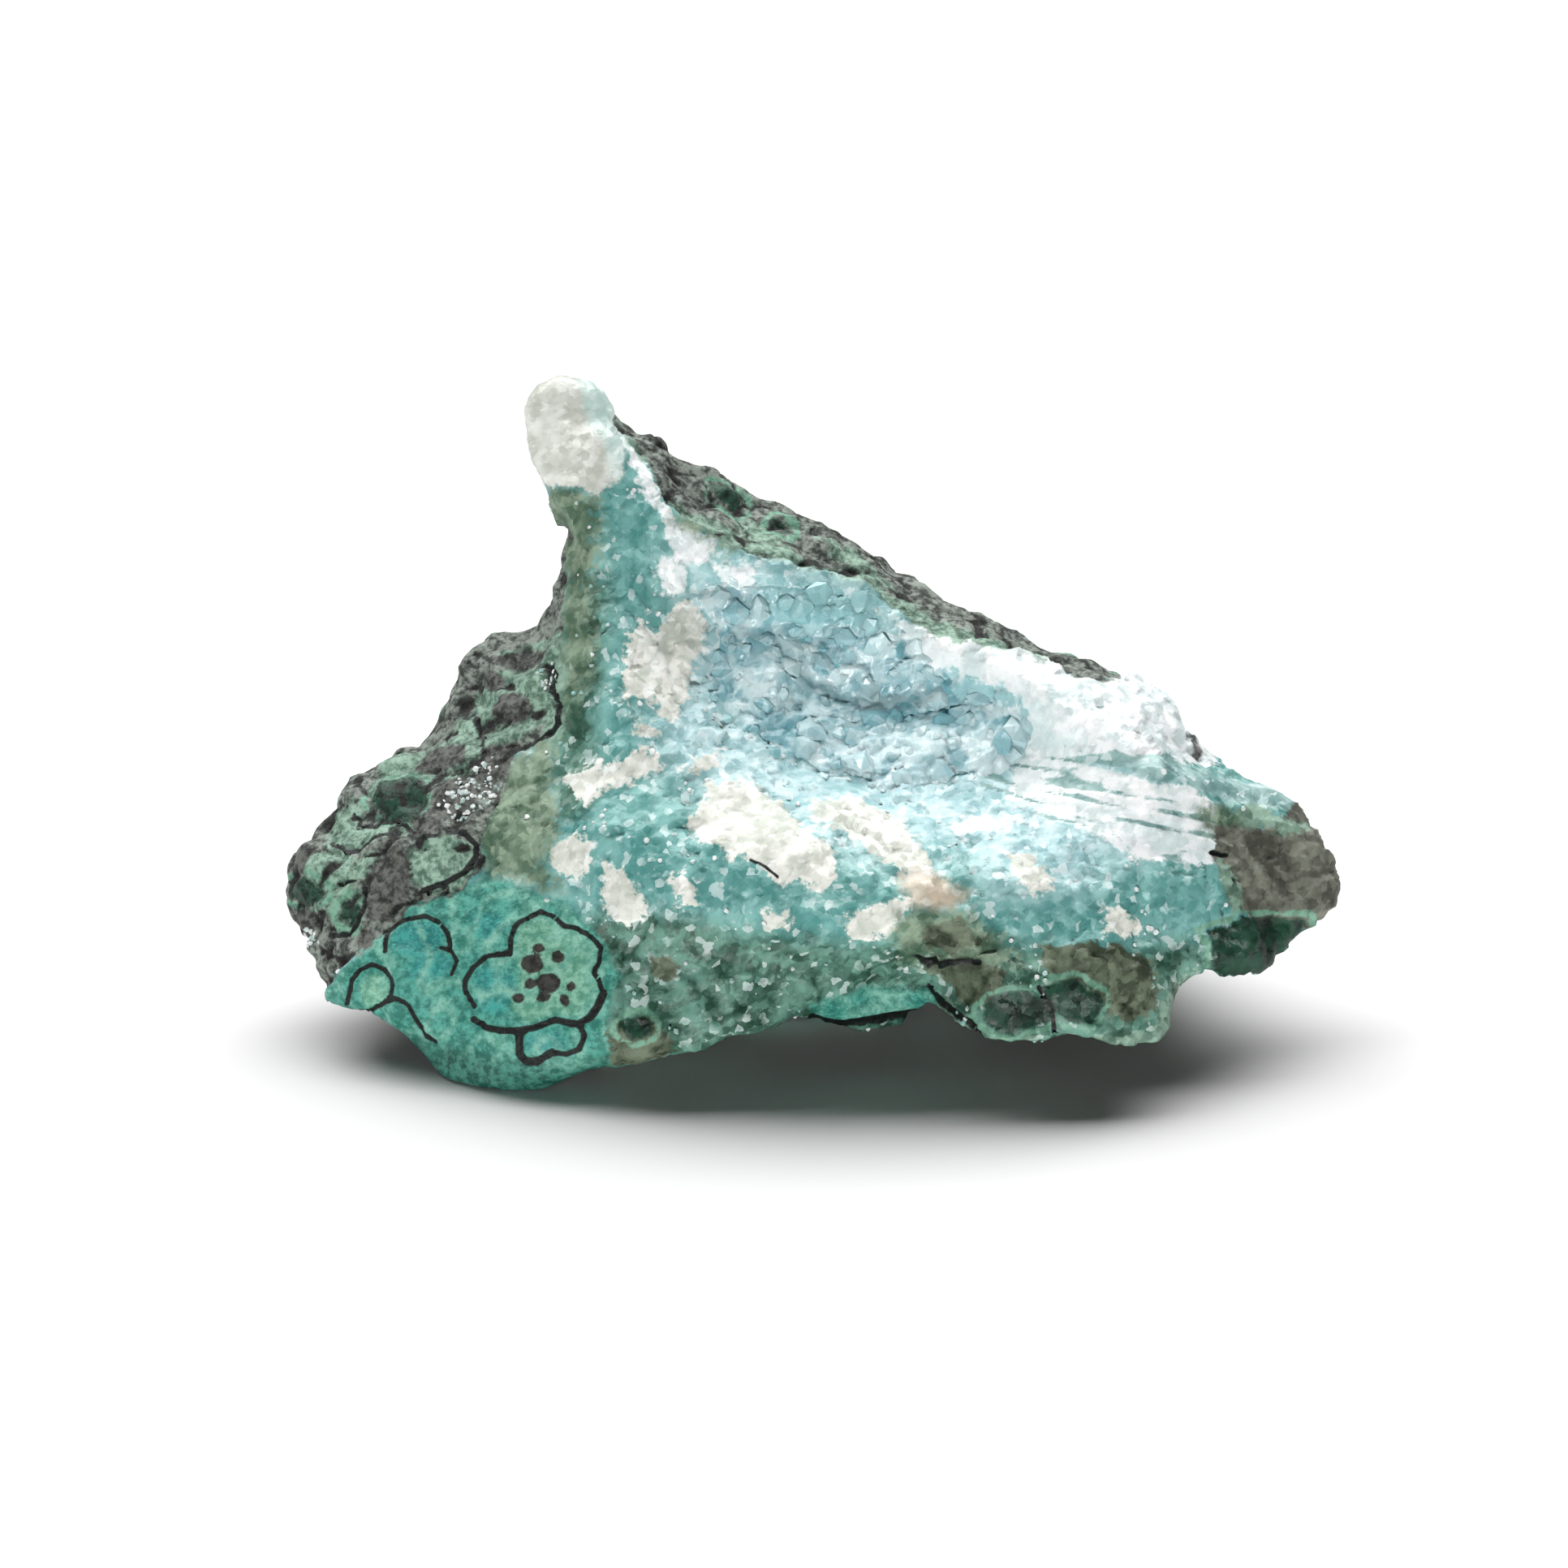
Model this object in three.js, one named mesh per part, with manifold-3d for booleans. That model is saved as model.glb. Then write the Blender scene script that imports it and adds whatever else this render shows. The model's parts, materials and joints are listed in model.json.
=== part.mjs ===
// Raw gem silica: one broken lump of blue-green chalcedony in a dark copper-ore rind.
// A shallow hollow in its front is lined by a crust of drusy quartz crystals.
// Millimetres, +Z up. The lump rests on a flat at z = 0, and the hollow faces -Y.
import * as THREE from "three";
import { ImprovedNoise } from "three/addons/math/ImprovedNoise.js";
import { mergeVertices } from "three/addons/utils/BufferGeometryUtils.js";
import Module from "manifold-3d";

// Driving dimensions
const FACE_LEAN = THREE.MathUtils.degToRad(25); // the face plane leans back this far from upright
const SIGHT = 300; // eye distance from the face plane: what stands nearer looks larger on it
const RINGS = 24; // rings of points from the middle of each side to its outline
const RING_CROWDING = 1.6; // over 1 draws the rings together towards the outline
const CENTRE = new THREE.Vector2(2, 1.7); // the point that all rings run around
const EDGE_DETAIL_FADE = 5; // how quickly the outline's small bays fade on the way in
const SOFT_SPAN = 0.05; // share of the outline's length that its soft twin averages over
const FLOOR_TRIM = 0.35; // the foot of the left lobe is worn off by this much
const FLOOR_BLOCK = 200; // the block below z = 0 that cuts the flat it rests on
const CRUST_GAP = 0.5; // between the hollow's floor and the crust's underside
const CRYSTALS = 50;
const CRYSTAL_SPREAD = 0.97; // share of the hollow's half-lengths that the crystals cover
const CRYSTAL_RADIUS = [1.7, 2.8]; // smallest and largest, in the middle of the hollow
const CRYSTAL_TAPER = 0.75; // share of that size at the crust's edge
const CRYSTAL_ROOT = 1.2; // depth of a crystal's root under the hollow's floor, in its radii
const CRYSTAL_SHOULDER = [0.25, 0.45]; // height of its straight sides over that floor
const CRYSTAL_TIP = [0.3, 0.5]; // height of its six-sided point
const CRYSTAL_LEAN = 0.3; // how far crystals lean off the floor's normal

// The outline on the face plane, clockwise from the spur's tip: u to the right, v up, and w the
// depth towards the eye, where 0 is the depth of the left lobe's foot.
const OUTLINE = [
  [-13.3, 22.4, -4.6], [-11.6, 21.8, -5], [-10.9, 20.9, -5.5], [-9.8, 20, -6], [-8, 19.4, -6.5],
  [-6.9, 18.1, -7], [-5, 17.7, -7.5], [-2.9, 16.5, -8], [-0.8, 15.5, -8], [1.4, 14.1, -8],
  [3.5, 13, -8], [5.4, 12, -8], [7.5, 11, -7.5], [9.7, 10, -7], [11.8, 8.6, -7],
  [15.4, 7.2, -6], [17.7, 6, -5.5], [19, 4.9, -5], [20.3, 3, -5], [22, 2.1, -5],
  [25.4, 0.3, -5], [26.4, -1.5, -4.5], [27.5, -3.8, -4], [27.1, -5.1, -3.5], [26.2, -5.6, -3],
  [24.4, -7, -2], [23.1, -8.1, -1], [20.6, -8.3, 1], [19.2, -9.6, 2], [18, -12, 4],
  [13.9, -11.7, 5], [9.2, -12.1, 5], [8.4, -11.6, 4.5], [6, -9.8, 2], [4.5, -11, 0],
  [2.4, -11.1, 0], [-0.1, -10.5, 1], [-2.7, -11.5, 4], [-6.9, -12.4, 3.5], [-12, -13.8, 2],
  [-15, -14.9, 1], [-18, -14.9, 0], [-19.5, -14, 0], [-20.6, -12.3, -0.5], [-22.3, -10.9, -1],
  [-25.4, -10, -2], [-26.3, -8.1, -3], [-27.5, -5.9, -4.5], [-27.5, -3.6, -5], [-27, -2.1, -5.5],
  [-25.9, -1, -5.5], [-24.4, 1.1, -6], [-21.8, 3, -6.5], [-19.4, 4.3, -6.5], [-18.9, 6.4, -6.5],
  [-18.2, 8.1, -7], [-17.6, 8.9, -7], [-15.4, 9.8, -7.5], [-14.2, 11.3, -7.5], [-13.3, 12.8, -7],
  [-12.4, 13.9, -5.5], [-13.3, 15.8, -3.5], [-14.6, 17.9, -3], [-15.1, 19.2, -3.2],
  [-15.2, 20.6, -3.6], [-14.8, 21.7, -4],
];

// Broken planes, each w = at + u * across + v * up. The front shows the nearest of its planes,
// and so does the back, where all of them are far.
const FRONT_PLANES = [{ at: 1.5, across: 0, up: -0.3 }];
const BACK_PLANES = [
  { at: -22, across: 0, up: 0.55 },
  { at: -19, across: 0.45, up: -0.1 },
  { at: -20, across: -0.35, up: -0.15 },
];
const FRONT_EDGE = { fall: 5, round: 1.4 }; // a flat face that turns over near the outline
const BACK_EDGE = { fall: 2.2, round: 2 }; // a dome

// Swells and dips: a place, half-lengths along and across, a turn in degrees and a rise towards the
// eye. A wall over 1 gives a flatter floor and a steeper side.
const HOLLOW = { u: 2.4, v: 6.6, along: 11.5, across: 5.6, turn: -20, rise: -4.2, wall: 1.6 };
const FRONT_SWELLS = [
  HOLLOW,
  { name: "pocket", u: 4.8, v: 6, along: 5, across: 1.6, turn: -8, rise: -1.4 },
  { name: "white ridge", u: 13.4, v: 5.8, along: 8, across: 2, turn: -27, rise: 2.6 },
  { name: "upper wall", u: -2, v: 13, along: 6, across: 1.6, turn: -28, rise: 1.2 },
  { name: "ledge", u: -1, v: -3.6, along: 13, across: 3.6, turn: -6, rise: 3, wall: 1.3 },
  { name: "left wall", u: -11.2, v: 9, along: 8, across: 2, turn: 97, rise: 1.8 },
  { name: "spur", u: -12.9, v: 19.4, along: 3.4, across: 2.6, turn: 110, rise: 2.4 },
  { name: "left lobe", u: -18, v: -8, along: 7, across: 5.6, turn: 35, rise: -1.6, wall: 1.6 },
  { name: "notch", u: 4.6, v: -9.4, along: 3.2, across: 1.7, turn: 0, rise: -3.2, wall: 1.5 },
  { name: "lower lump", u: 10.2, v: -9.6, along: 2.4, across: 2, turn: 0, rise: 1.6, wall: 1.5 },
  { name: "corner lump", u: 15.2, v: -8.8, along: 3, across: 2.4, turn: 0, rise: 2, wall: 1.5 },
  { name: "right face", u: 23, v: -4, along: 4.5, across: 4, turn: 0, rise: -1.2, wall: 1.5 },
];
const BACK_SWELLS = [
  { name: "heel", u: 9, v: -5, along: 9, across: 4, turn: 6, rise: -11 },
  { name: "keel", u: -10, v: -7, along: 7, across: 3.5, turn: 25, rise: -5.2 },
  { name: "back knob", u: -6, v: 10, along: 5, across: 4, turn: 20, rise: -2.2 },
];

const HOLLOW_CENTRE = new THREE.Vector2(HOLLOW.u, HOLLOW.v);
const GOLDEN_ANGLE = Math.PI * (3 - Math.sqrt(5));

// Roughness: broad waves everywhere, and grape-like lumps on the rind.
const WAVES = [
  { length: 7, height: 0.55 },
  { length: 3.2, height: 0.28 },
];
const LUMP_SIZE = 5.2;
const LUMP_HEIGHT = 3.4;
const LUMP_CREASE = 8; // the larger, the sharper the valleys between lumps
const LUMP_FLOOR = 0.6; // the height, before scaling, that stays level with the plain surface
const LUMP_STRIDE = new THREE.Vector3(0.73, 0.61, 0.67); // keeps seeds off the noise's own grid
const LUMP_OFFSETS = [0.2, 7.4, 13.6];
const RIND_DEPTH = [4, 8]; // lumps set in between these depths behind the face plane
const HOLLOW_CALM = 1.6; // how far past its half-lengths the hollow stays smooth

const noise = new ImprovedNoise();
const wasm = await Module();
wasm.setup();

const outline = new THREE.CatmullRomCurve3(
  OUTLINE.map((point) => new THREE.Vector3(...point)),
  true,
  "centripetal",
);
outline.arcLengthDivisions = 40 * OUTLINE.length;

// The outline at share t of its length, drawn to its soft twin as the rings run inwards.
function outlineAt(t, share) {
  const exact = outline.getPointAt(t);
  const soft = new THREE.Vector3();
  const samples = [-1, -0.5, 0, 0.5, 1];
  samples.forEach((step) => soft.add(outline.getPointAt((t + step * SOFT_SPAN + 1) % 1)));
  return soft.divideScalar(samples.length).lerp(exact, share ** EDGE_DETAIL_FADE);
}

// A repeatable stream of numbers from 0 to 1.
function seededRandom(seed) {
  let state = seed;
  return () => {
    state = (state * 16807) % 2147483647;
    return state / 2147483647;
  };
}

// How strongly a swell acts at a place: 1 at its middle and near 0 beyond its half-lengths.
function reach(swell, u, v) {
  const turn = THREE.MathUtils.degToRad(swell.turn);
  const du = u - swell.u;
  const dv = v - swell.v;
  const along = (du * Math.cos(turn) + dv * Math.sin(turn)) / swell.along;
  const across = (dv * Math.cos(turn) - du * Math.sin(turn)) / swell.across;
  return Math.exp(-((along ** 2 + across ** 2) ** (swell.wall ?? 1)));
}

const swellSum = (swells, u, v) => swells.reduce((sum, s) => sum + s.rise * reach(s, u, v), 0);

const planeDepth = (planes, u, v) => Math.max(...planes.map((p) => p.at + p.across * u + p.up * v));

// Depth of one side at a place, where share runs from 0 at the middle to 1 on the outline.
function sideDepth(side, u, v, share, rimDepth) {
  const inner = planeDepth(side.planes, u, v) + swellSum(side.swells, u, v);
  const weight = (1 - share ** side.edge.fall) ** (1 / side.edge.round);
  return THREE.MathUtils.lerp(rimDepth, inner, weight);
}

const FRONT = { planes: FRONT_PLANES, swells: FRONT_SWELLS, edge: FRONT_EDGE };
const BACK = { planes: BACK_PLANES, swells: BACK_SWELLS, edge: BACK_EDGE };

// A point of the face plane and its depth, as a point in space: what is nearer the eye is drawn
// in towards the line of sight, so that it still covers the same place of the outline.
function inSpace(u, v, w) {
  const scale = 1 - w / SIGHT;
  return new THREE.Vector3(u * scale, v * scale, w);
}

// A closed shell of two sides that share their last ring. Ring k has 6k points, so that the
// triangles stay even. edge(t, share) gives the outline at share t of its length, as a ring at
// that share of the way from the centre follows it.
function shell(rings, crowding, edge, centre, depthOf) {
  const positions = [];
  const triangles = [];
  const ringStart = (k) => (k === 0 ? 0 : 1 + 3 * k * (k - 1));
  const sideCount = ringStart(rings); // points of one side within the shared ring
  const addSide = (isFront) => {
    for (let k = 0; k < rings; k++) {
      const share = 1 - (1 - k / rings) ** crowding;
      for (let j = 0; j < Math.max(1, 6 * k); j++) {
        const rim = edge(k === 0 ? 0 : j / (6 * k), share);
        const u = THREE.MathUtils.lerp(centre.x, rim.x, share);
        const v = THREE.MathUtils.lerp(centre.y, rim.y, share);
        positions.push(inSpace(u, v, depthOf(isFront, u, v, share, rim.z)));
      }
    }
  };
  addSide(true);
  addSide(false);
  for (let j = 0; j < 6 * rings; j++) {
    const rim = edge(j / (6 * rings), 1);
    positions.push(inSpace(rim.x, rim.y, rim.z));
  }
  const point = (isFront, k, j) => {
    const around = j % (6 * k || 1);
    if (k === rings) return 2 * sideCount + around;
    return ringStart(k) + around + (isFront ? 0 : sideCount);
  };
  const addTriangle = (isFront, a, b, c) => triangles.push(...(isFront ? [a, c, b] : [a, b, c]));
  for (const isFront of [true, false]) {
    for (let k = 1; k <= rings; k++) {
      for (let sector = 0; sector < 6; sector++) {
        for (let j = 0; j < k; j++) {
          const outer = point(isFront, k, sector * k + j);
          const outerNext = point(isFront, k, sector * k + j + 1);
          const inner = point(isFront, k - 1, sector * (k - 1) + j);
          addTriangle(isFront, inner, outer, outerNext);
          if (j === k - 1) continue;
          addTriangle(isFront, inner, outerNext, point(isFront, k - 1, sector * (k - 1) + j + 1));
        }
      }
    }
  }
  const geometry = new THREE.BufferGeometry().setFromPoints(positions);
  return geometry.setIndex(triangles);
}

// The top of the lump in one cell of a jittered grid.
function lumpTop(cell) {
  const at = cell.clone().multiply(LUMP_STRIDE);
  const shift = LUMP_OFFSETS.map((offset) => noise.noise(at.x + offset, at.y, at.z - offset));
  return new THREE.Vector3(...shift).add(cell).addScalar(0.5);
}

// Height of grape-like lumps: a soft least distance from their tops leaves rounded valleys.
function lumps(point) {
  const place = point.clone().divideScalar(LUMP_SIZE);
  const home = place.clone().floor();
  let closeness = 0;
  for (let i = -1; i <= 1; i++) {
    for (let j = -1; j <= 1; j++) {
      for (let k = -1; k <= 1; k++) {
        const top = lumpTop(new THREE.Vector3(i, j, k).add(home));
        closeness += Math.exp(-LUMP_CREASE * top.distanceTo(place));
      }
    }
  }
  const distance = -Math.log(closeness) / LUMP_CREASE;
  return Math.sqrt(Math.max(0, 1 - distance ** 2)) - LUMP_FLOOR;
}

function waves(point) {
  return WAVES.reduce((sum, { length, height }) => {
    const place = point.clone().divideScalar(length);
    return sum + height * noise.noise(place.x, place.y, place.z);
  }, 0);
}

// Roughens a shell along its normals. The hollow stays smooth, because the crust lies in it.
function roughen(geometry) {
  geometry.computeVertexNormals();
  const position = geometry.attributes.position;
  const point = new THREE.Vector3();
  const normal = new THREE.Vector3();
  for (let i = 0; i < position.count; i++) {
    point.fromBufferAttribute(position, i);
    normal.fromBufferAttribute(geometry.attributes.normal, i);
    const rind = THREE.MathUtils.smoothstep(-point.z, ...RIND_DEPTH);
    const isFacing = normal.z > 0;
    const calm = isFacing ? 1 - Math.min(1, HOLLOW_CALM * reach(HOLLOW, point.x, point.y)) : 1;
    point.addScaledVector(normal, calm * (waves(point) + rind * LUMP_HEIGHT * lumps(point)));
    position.setXYZ(i, point.x, point.y, point.z);
  }
  return geometry;
}

// Closed geometry to a solid, and back.
function solidOf(geometry) {
  const bare = geometry.clone();
  bare.deleteAttribute("normal");
  bare.deleteAttribute("uv");
  const merged = mergeVertices(bare, 1e-4);
  return new wasm.Manifold(
    new wasm.Mesh({
      numProp: 3,
      vertProperties: merged.attributes.position.array,
      triVerts: new Uint32Array(merged.index.array),
    }),
  );
}

function geometryOf(solid) {
  const mesh = solid.getMesh();
  const geometry = new THREE.BufferGeometry();
  geometry.setAttribute("position", new THREE.BufferAttribute(mesh.vertProperties, 3));
  geometry.setIndex(new THREE.BufferAttribute(mesh.triVerts, 1));
  geometry.computeVertexNormals();
  return geometry;
}

// Stands the face plane up, leaning back, with the left lobe's foot just below z = 0.
const foot = OUTLINE.reduce((low, point) => (point[1] < low[1] ? point : low));
const footHeight = foot[1] * Math.cos(FACE_LEAN) + foot[2] * Math.sin(FACE_LEAN);
function standUp(geometry) {
  return geometry.rotateX(Math.PI / 2 - FACE_LEAN).translate(0, 0, -footHeight - FLOOR_TRIM);
}

// Drops points onto a surface along the line of sight.
function dropper(geometry) {
  const target = new THREE.Mesh(geometry, new THREE.MeshBasicMaterial());
  const eye = new THREE.Vector3(0, 0, SIGHT);
  const ray = new THREE.Raycaster();
  return (u, v) => {
    ray.set(eye, new THREE.Vector3(u, v, -SIGHT).normalize());
    const [hit] = ray.intersectObject(target);
    return { depth: hit.point.z, normal: hit.face.normal };
  };
}

function makeLump() {
  const side = (isFront, ...place) => sideDepth(isFront ? FRONT : BACK, ...place);
  return roughen(shell(RINGS, RING_CROWDING, outlineAt, CENTRE, side));
}

// A place in the hollow, given as a share of its half-lengths and an angle.
function hollowPlace(share, angle) {
  const along = HOLLOW.along * share * Math.cos(angle);
  const across = HOLLOW.across * share * Math.sin(angle);
  const turn = THREE.MathUtils.degToRad(HOLLOW.turn);
  return new THREE.Vector2(along, across).rotateAround(new THREE.Vector2(), turn).add(HOLLOW_CENTRE);
}

// One crystal: a six-sided prism with a six-sided point, rooted under the hollow's floor.
function makeCrystal(drop, index, random) {
  const between = ([low, high]) => THREE.MathUtils.lerp(low, high, random());
  const share = Math.sqrt((index + random()) / CRYSTALS);
  const place = hollowPlace(CRYSTAL_SPREAD * share, index * GOLDEN_ANGLE);
  const floor = drop(place.x, place.y);
  const radius = between(CRYSTAL_RADIUS) * THREE.MathUtils.lerp(1, CRYSTAL_TAPER, share);
  const root = -radius * CRYSTAL_ROOT;
  const shoulder = radius * between(CRYSTAL_SHOULDER);
  const tip = shoulder + radius * between(CRYSTAL_TIP);
  const profile = [[0, root], [radius, root], [radius, shoulder], [0, tip]];
  const crystal = new THREE.LatheGeometry(
    profile.map((corner) => new THREE.Vector2(...corner)),
    6,
    random() * Math.PI,
  );
  const lean = new THREE.Vector3(random(), random(), random()).subScalar(0.5);
  const direction = lean.multiplyScalar(2 * CRYSTAL_LEAN).add(floor.normal).normalize();
  const turn = new THREE.Quaternion().setFromUnitVectors(new THREE.Vector3(0, 1, 0), direction);
  return crystal.applyQuaternion(turn).translate(...inSpace(place.x, place.y, floor.depth));
}

// The crystals joined, with the lump moved a gap towards the eye taken away from under them.
// Pockets that leaning crystals seal between them fall away with the smaller pieces.
function makeCrust(lump) {
  const drop = dropper(lump);
  const random = seededRandom(7);
  const crystals = [];
  for (let index = 0; index < CRYSTALS; index++) {
    crystals.push(solidOf(standUp(makeCrystal(drop, index, random))));
  }
  const bed = solidOf(standUp(lump.clone().translate(0, 0, CRUST_GAP)));
  const pieces = wasm.Manifold.union(crystals).subtract(bed).decompose();
  return pieces.reduce((largest, piece) => (piece.volume() > largest.volume() ? piece : largest));
}

function makeStone(lump) {
  const floor = new THREE.BoxGeometry(FLOOR_BLOCK, FLOOR_BLOCK, FLOOR_BLOCK);
  floor.translate(0, 0, -FLOOR_BLOCK / 2);
  return solidOf(standUp(lump.clone())).subtract(solidOf(floor));
}

function namedMesh(name, solid, color, roughness) {
  const material = new THREE.MeshStandardMaterial({ color, roughness, metalness: 0 });
  const mesh = new THREE.Mesh(geometryOf(solid), material);
  mesh.name = name;
  return mesh;
}

const lump = makeLump();
const specimen = new THREE.Group();
specimen.add(namedMesh("stone", makeStone(lump), 0x4f8f86, 0.6));
specimen.add(namedMesh("druse_crust", makeCrust(lump), 0xb4d3d8, 0.25));

// The group's origin is under the middle of the stone's box, on the flat it rests on.
const middle = new THREE.Box3().setFromObject(specimen, true).getCenter(new THREE.Vector3());
specimen.position.set(-middle.x, -middle.y, 0);

export default specimen;
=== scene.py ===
# %% [markdown]
# # Raw gem silica
# A broken lump of blue-green chalcedony. Its front is a fresh break with a hollow full of small
# quartz crystals, its left and upper sides keep a dark lumpy rind with green copper minerals, and
# a spur at the top ends in a cap of milky quartz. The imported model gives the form. This script
# gives it the fine relief, the crystals and the colours.

# %% Load the frame
import json
import math

import bpy
import numpy as np
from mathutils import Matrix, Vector, noise
from mathutils.bvhtree import BVHTree

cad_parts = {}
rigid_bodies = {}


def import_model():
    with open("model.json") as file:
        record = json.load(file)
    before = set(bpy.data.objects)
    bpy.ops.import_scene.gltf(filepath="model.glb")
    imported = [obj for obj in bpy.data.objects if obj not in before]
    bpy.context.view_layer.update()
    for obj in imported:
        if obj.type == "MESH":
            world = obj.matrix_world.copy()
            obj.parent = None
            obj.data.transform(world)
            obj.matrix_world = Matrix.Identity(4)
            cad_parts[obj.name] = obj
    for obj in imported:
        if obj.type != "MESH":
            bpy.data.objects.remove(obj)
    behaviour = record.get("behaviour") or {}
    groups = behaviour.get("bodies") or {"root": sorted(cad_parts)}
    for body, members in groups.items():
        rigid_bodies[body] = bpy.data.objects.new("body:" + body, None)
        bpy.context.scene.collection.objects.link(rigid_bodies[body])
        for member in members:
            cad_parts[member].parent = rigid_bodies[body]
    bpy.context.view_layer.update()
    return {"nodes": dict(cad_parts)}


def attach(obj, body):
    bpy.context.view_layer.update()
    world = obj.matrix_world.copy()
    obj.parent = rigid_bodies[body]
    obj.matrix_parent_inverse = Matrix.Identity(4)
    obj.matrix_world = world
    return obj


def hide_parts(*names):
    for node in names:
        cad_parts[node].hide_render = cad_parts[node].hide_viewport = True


MM = 0.001
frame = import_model()
print("CAD nodes:", sorted(frame["nodes"]))

# %% [markdown]
# ## The camera
# The face of the stone leans back, and the camera looks straight at it from 25 degrees above the
# floor. The CAD model was laid out on that face plane, so the plane's zero point and the pixel
# that shows it tie the model to the photograph. The same numbers later say which place of the
# stone a pixel belongs to.

# %% Camera at the photograph's angle
PHOTO_PX = 1932
PX_PER_MM = 23.5
SIGHT = 300 * MM  # from the eye to the face plane
FACE_LEAN = math.radians(25)
FACE_ZERO = np.array((0.233, -5.706, 12.731)) * MM  # the face plane's zero point
FACE_ZERO_PX = np.array((1003, 1000))  # the pixel that shows it
SENSOR_MM = 36
RIGHT = np.array((1, 0, 0))
UP = np.array((0, math.sin(FACE_LEAN), math.cos(FACE_LEAN)))
TO_EYE = np.array((0, -math.cos(FACE_LEAN), math.sin(FACE_LEAN)))
eye = FACE_ZERO + SIGHT * TO_EYE

bpy.ops.object.camera_add(location=eye, rotation=(math.pi / 2 - FACE_LEAN, 0, 0))
camera = bpy.context.object
camera.data.sensor_width = SENSOR_MM
camera.data.lens = SENSOR_MM * SIGHT / MM * PX_PER_MM / PHOTO_PX
camera.data.shift_x = (PHOTO_PX / 2 - FACE_ZERO_PX[0]) / PHOTO_PX
camera.data.shift_y = (FACE_ZERO_PX[1] - PHOTO_PX / 2) / PHOTO_PX
bpy.context.scene.camera = camera
print(f"lens {camera.data.lens:.1f} mm")

# %% [markdown]
# ## The lump
# A CAD node is loose triangles, about a millimetre each. A copy is merged, and the Remesh modifier
# then wraps it in even little squares, fine enough to carry relief. Smooth takes the CAD's flat
# triangles off. Sculpting by hand would end the same way, on a remeshed block.

# %% Copy a node and remesh it
def select_only(obj):
    bpy.ops.object.select_all(action="DESELECT")
    obj.select_set(True)
    bpy.context.view_layer.objects.active = obj


def apply_modifier(obj, name, kind, **settings):
    modifier = obj.modifiers.new(name, kind)
    for key, value in settings.items():
        setattr(modifier, key, value)
    bpy.ops.object.modifier_apply(modifier=modifier.name)


def remeshed_copy(node, name, voxel, smoothing):
    select_only(frame["nodes"][node])
    bpy.ops.object.duplicate()
    piece = bpy.context.object
    piece.name = name
    bpy.ops.object.parent_clear(type="CLEAR_KEEP_TRANSFORM")
    bpy.ops.object.mode_set(mode="EDIT")
    bpy.ops.mesh.select_all(action="SELECT")
    bpy.ops.mesh.remove_doubles(threshold=0.001 * MM)
    bpy.ops.object.mode_set(mode="OBJECT")
    apply_modifier(piece, "even squares", "REMESH", mode="VOXEL", voxel_size=voxel)
    apply_modifier(piece, "facets off", "SMOOTH", factor=0.5, iterations=smoothing)
    bpy.ops.object.shade_smooth()
    piece.data.materials.clear()
    return piece


stone = remeshed_copy("stone", "gem_silica_lump", voxel=0.245 * MM, smoothing=12)
print("lump faces:", len(stone.data.polygons))

# %% [markdown]
# ## Where each zone lies
# The stone's colours lie in zones: rind, sage-green skin, turquoise, pale druse, white ridge, cream
# crust. Each zone is drawn as a few outlines in the photograph's pixels. Every point of the
# lump then gets its distance from the zone's edge in millimetres, positive inside. A distance can
# be made ragged or soft later, where a painted mask could not.

# %% Distance helpers
def read_points(mesh):
    points = np.empty(3 * len(mesh.vertices))
    mesh.vertices.foreach_get("co", points)
    return points.reshape(-1, 3)


def read_normals(mesh):
    normals = np.empty(3 * len(mesh.vertices))
    mesh.vertex_normals.foreach_get("vector", normals)
    return normals.reshape(-1, 3)


def photo_px(points):
    """The pixel that shows each point, in the photograph's frame."""
    ray = points - eye
    depth = -(ray @ TO_EYE)
    flat = np.stack((ray @ RIGHT, -(ray @ UP)), axis=1) * (SIGHT / depth)[:, None]
    return FACE_ZERO_PX + flat / MM * PX_PER_MM


def line_offset(px, corners):
    """The way in pixels from each place to the nearest one on a line of corners."""
    offset = np.full((len(px), 2), np.inf)
    for a, b in zip(corners, corners[1:]):
        a, along = np.array(a), np.subtract(b, a)
        share = np.clip((px - a) @ along / (along @ along), 0, 1)
        way = a + share[:, None] * along - px
        is_nearer = np.linalg.norm(way, axis=1) < np.linalg.norm(offset, axis=1)
        offset[is_nearer] = way[is_nearer]
    return offset


def line_distance(px, corners):
    return np.linalg.norm(line_offset(px, corners), axis=1)


def patch_distance(px, corners):
    """Distance in pixels from a closed outline's edge, positive inside it."""
    inside = np.zeros(len(px), bool)
    for a, b in zip(corners, corners[1:] + corners[:1]):
        crosses = (a[1] > px[:, 1]) != (b[1] > px[:, 1])
        rise = b[1] - a[1] or 1e-6
        inside ^= crosses & (px[:, 0] < a[0] + (px[:, 1] - a[1]) * (b[0] - a[0]) / rise)
    distance = line_distance(px, corners + corners[:1])
    return np.where(inside, distance, -distance)


def oval(x, y, along, across, turn=0, corners=18):
    angles = np.linspace(0, 2 * math.pi, corners, endpoint=False)
    cos, sin = math.cos(math.radians(turn)), math.sin(math.radians(turn))
    a, b = along * np.cos(angles), across * np.sin(angles)
    return list(zip(x + a * cos - b * sin, y + a * sin + b * cos))


def smooth_noise(points, size):
    """Soft noise from about -1 to 1, with lumps of that size."""
    return np.array([noise.noise(Vector(point)) for point in points / size])


def smoothstep(values, low, high):
    share = np.clip((values - low) / (high - low), 0, 1)
    return share * share * (3 - 2 * share)


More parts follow.
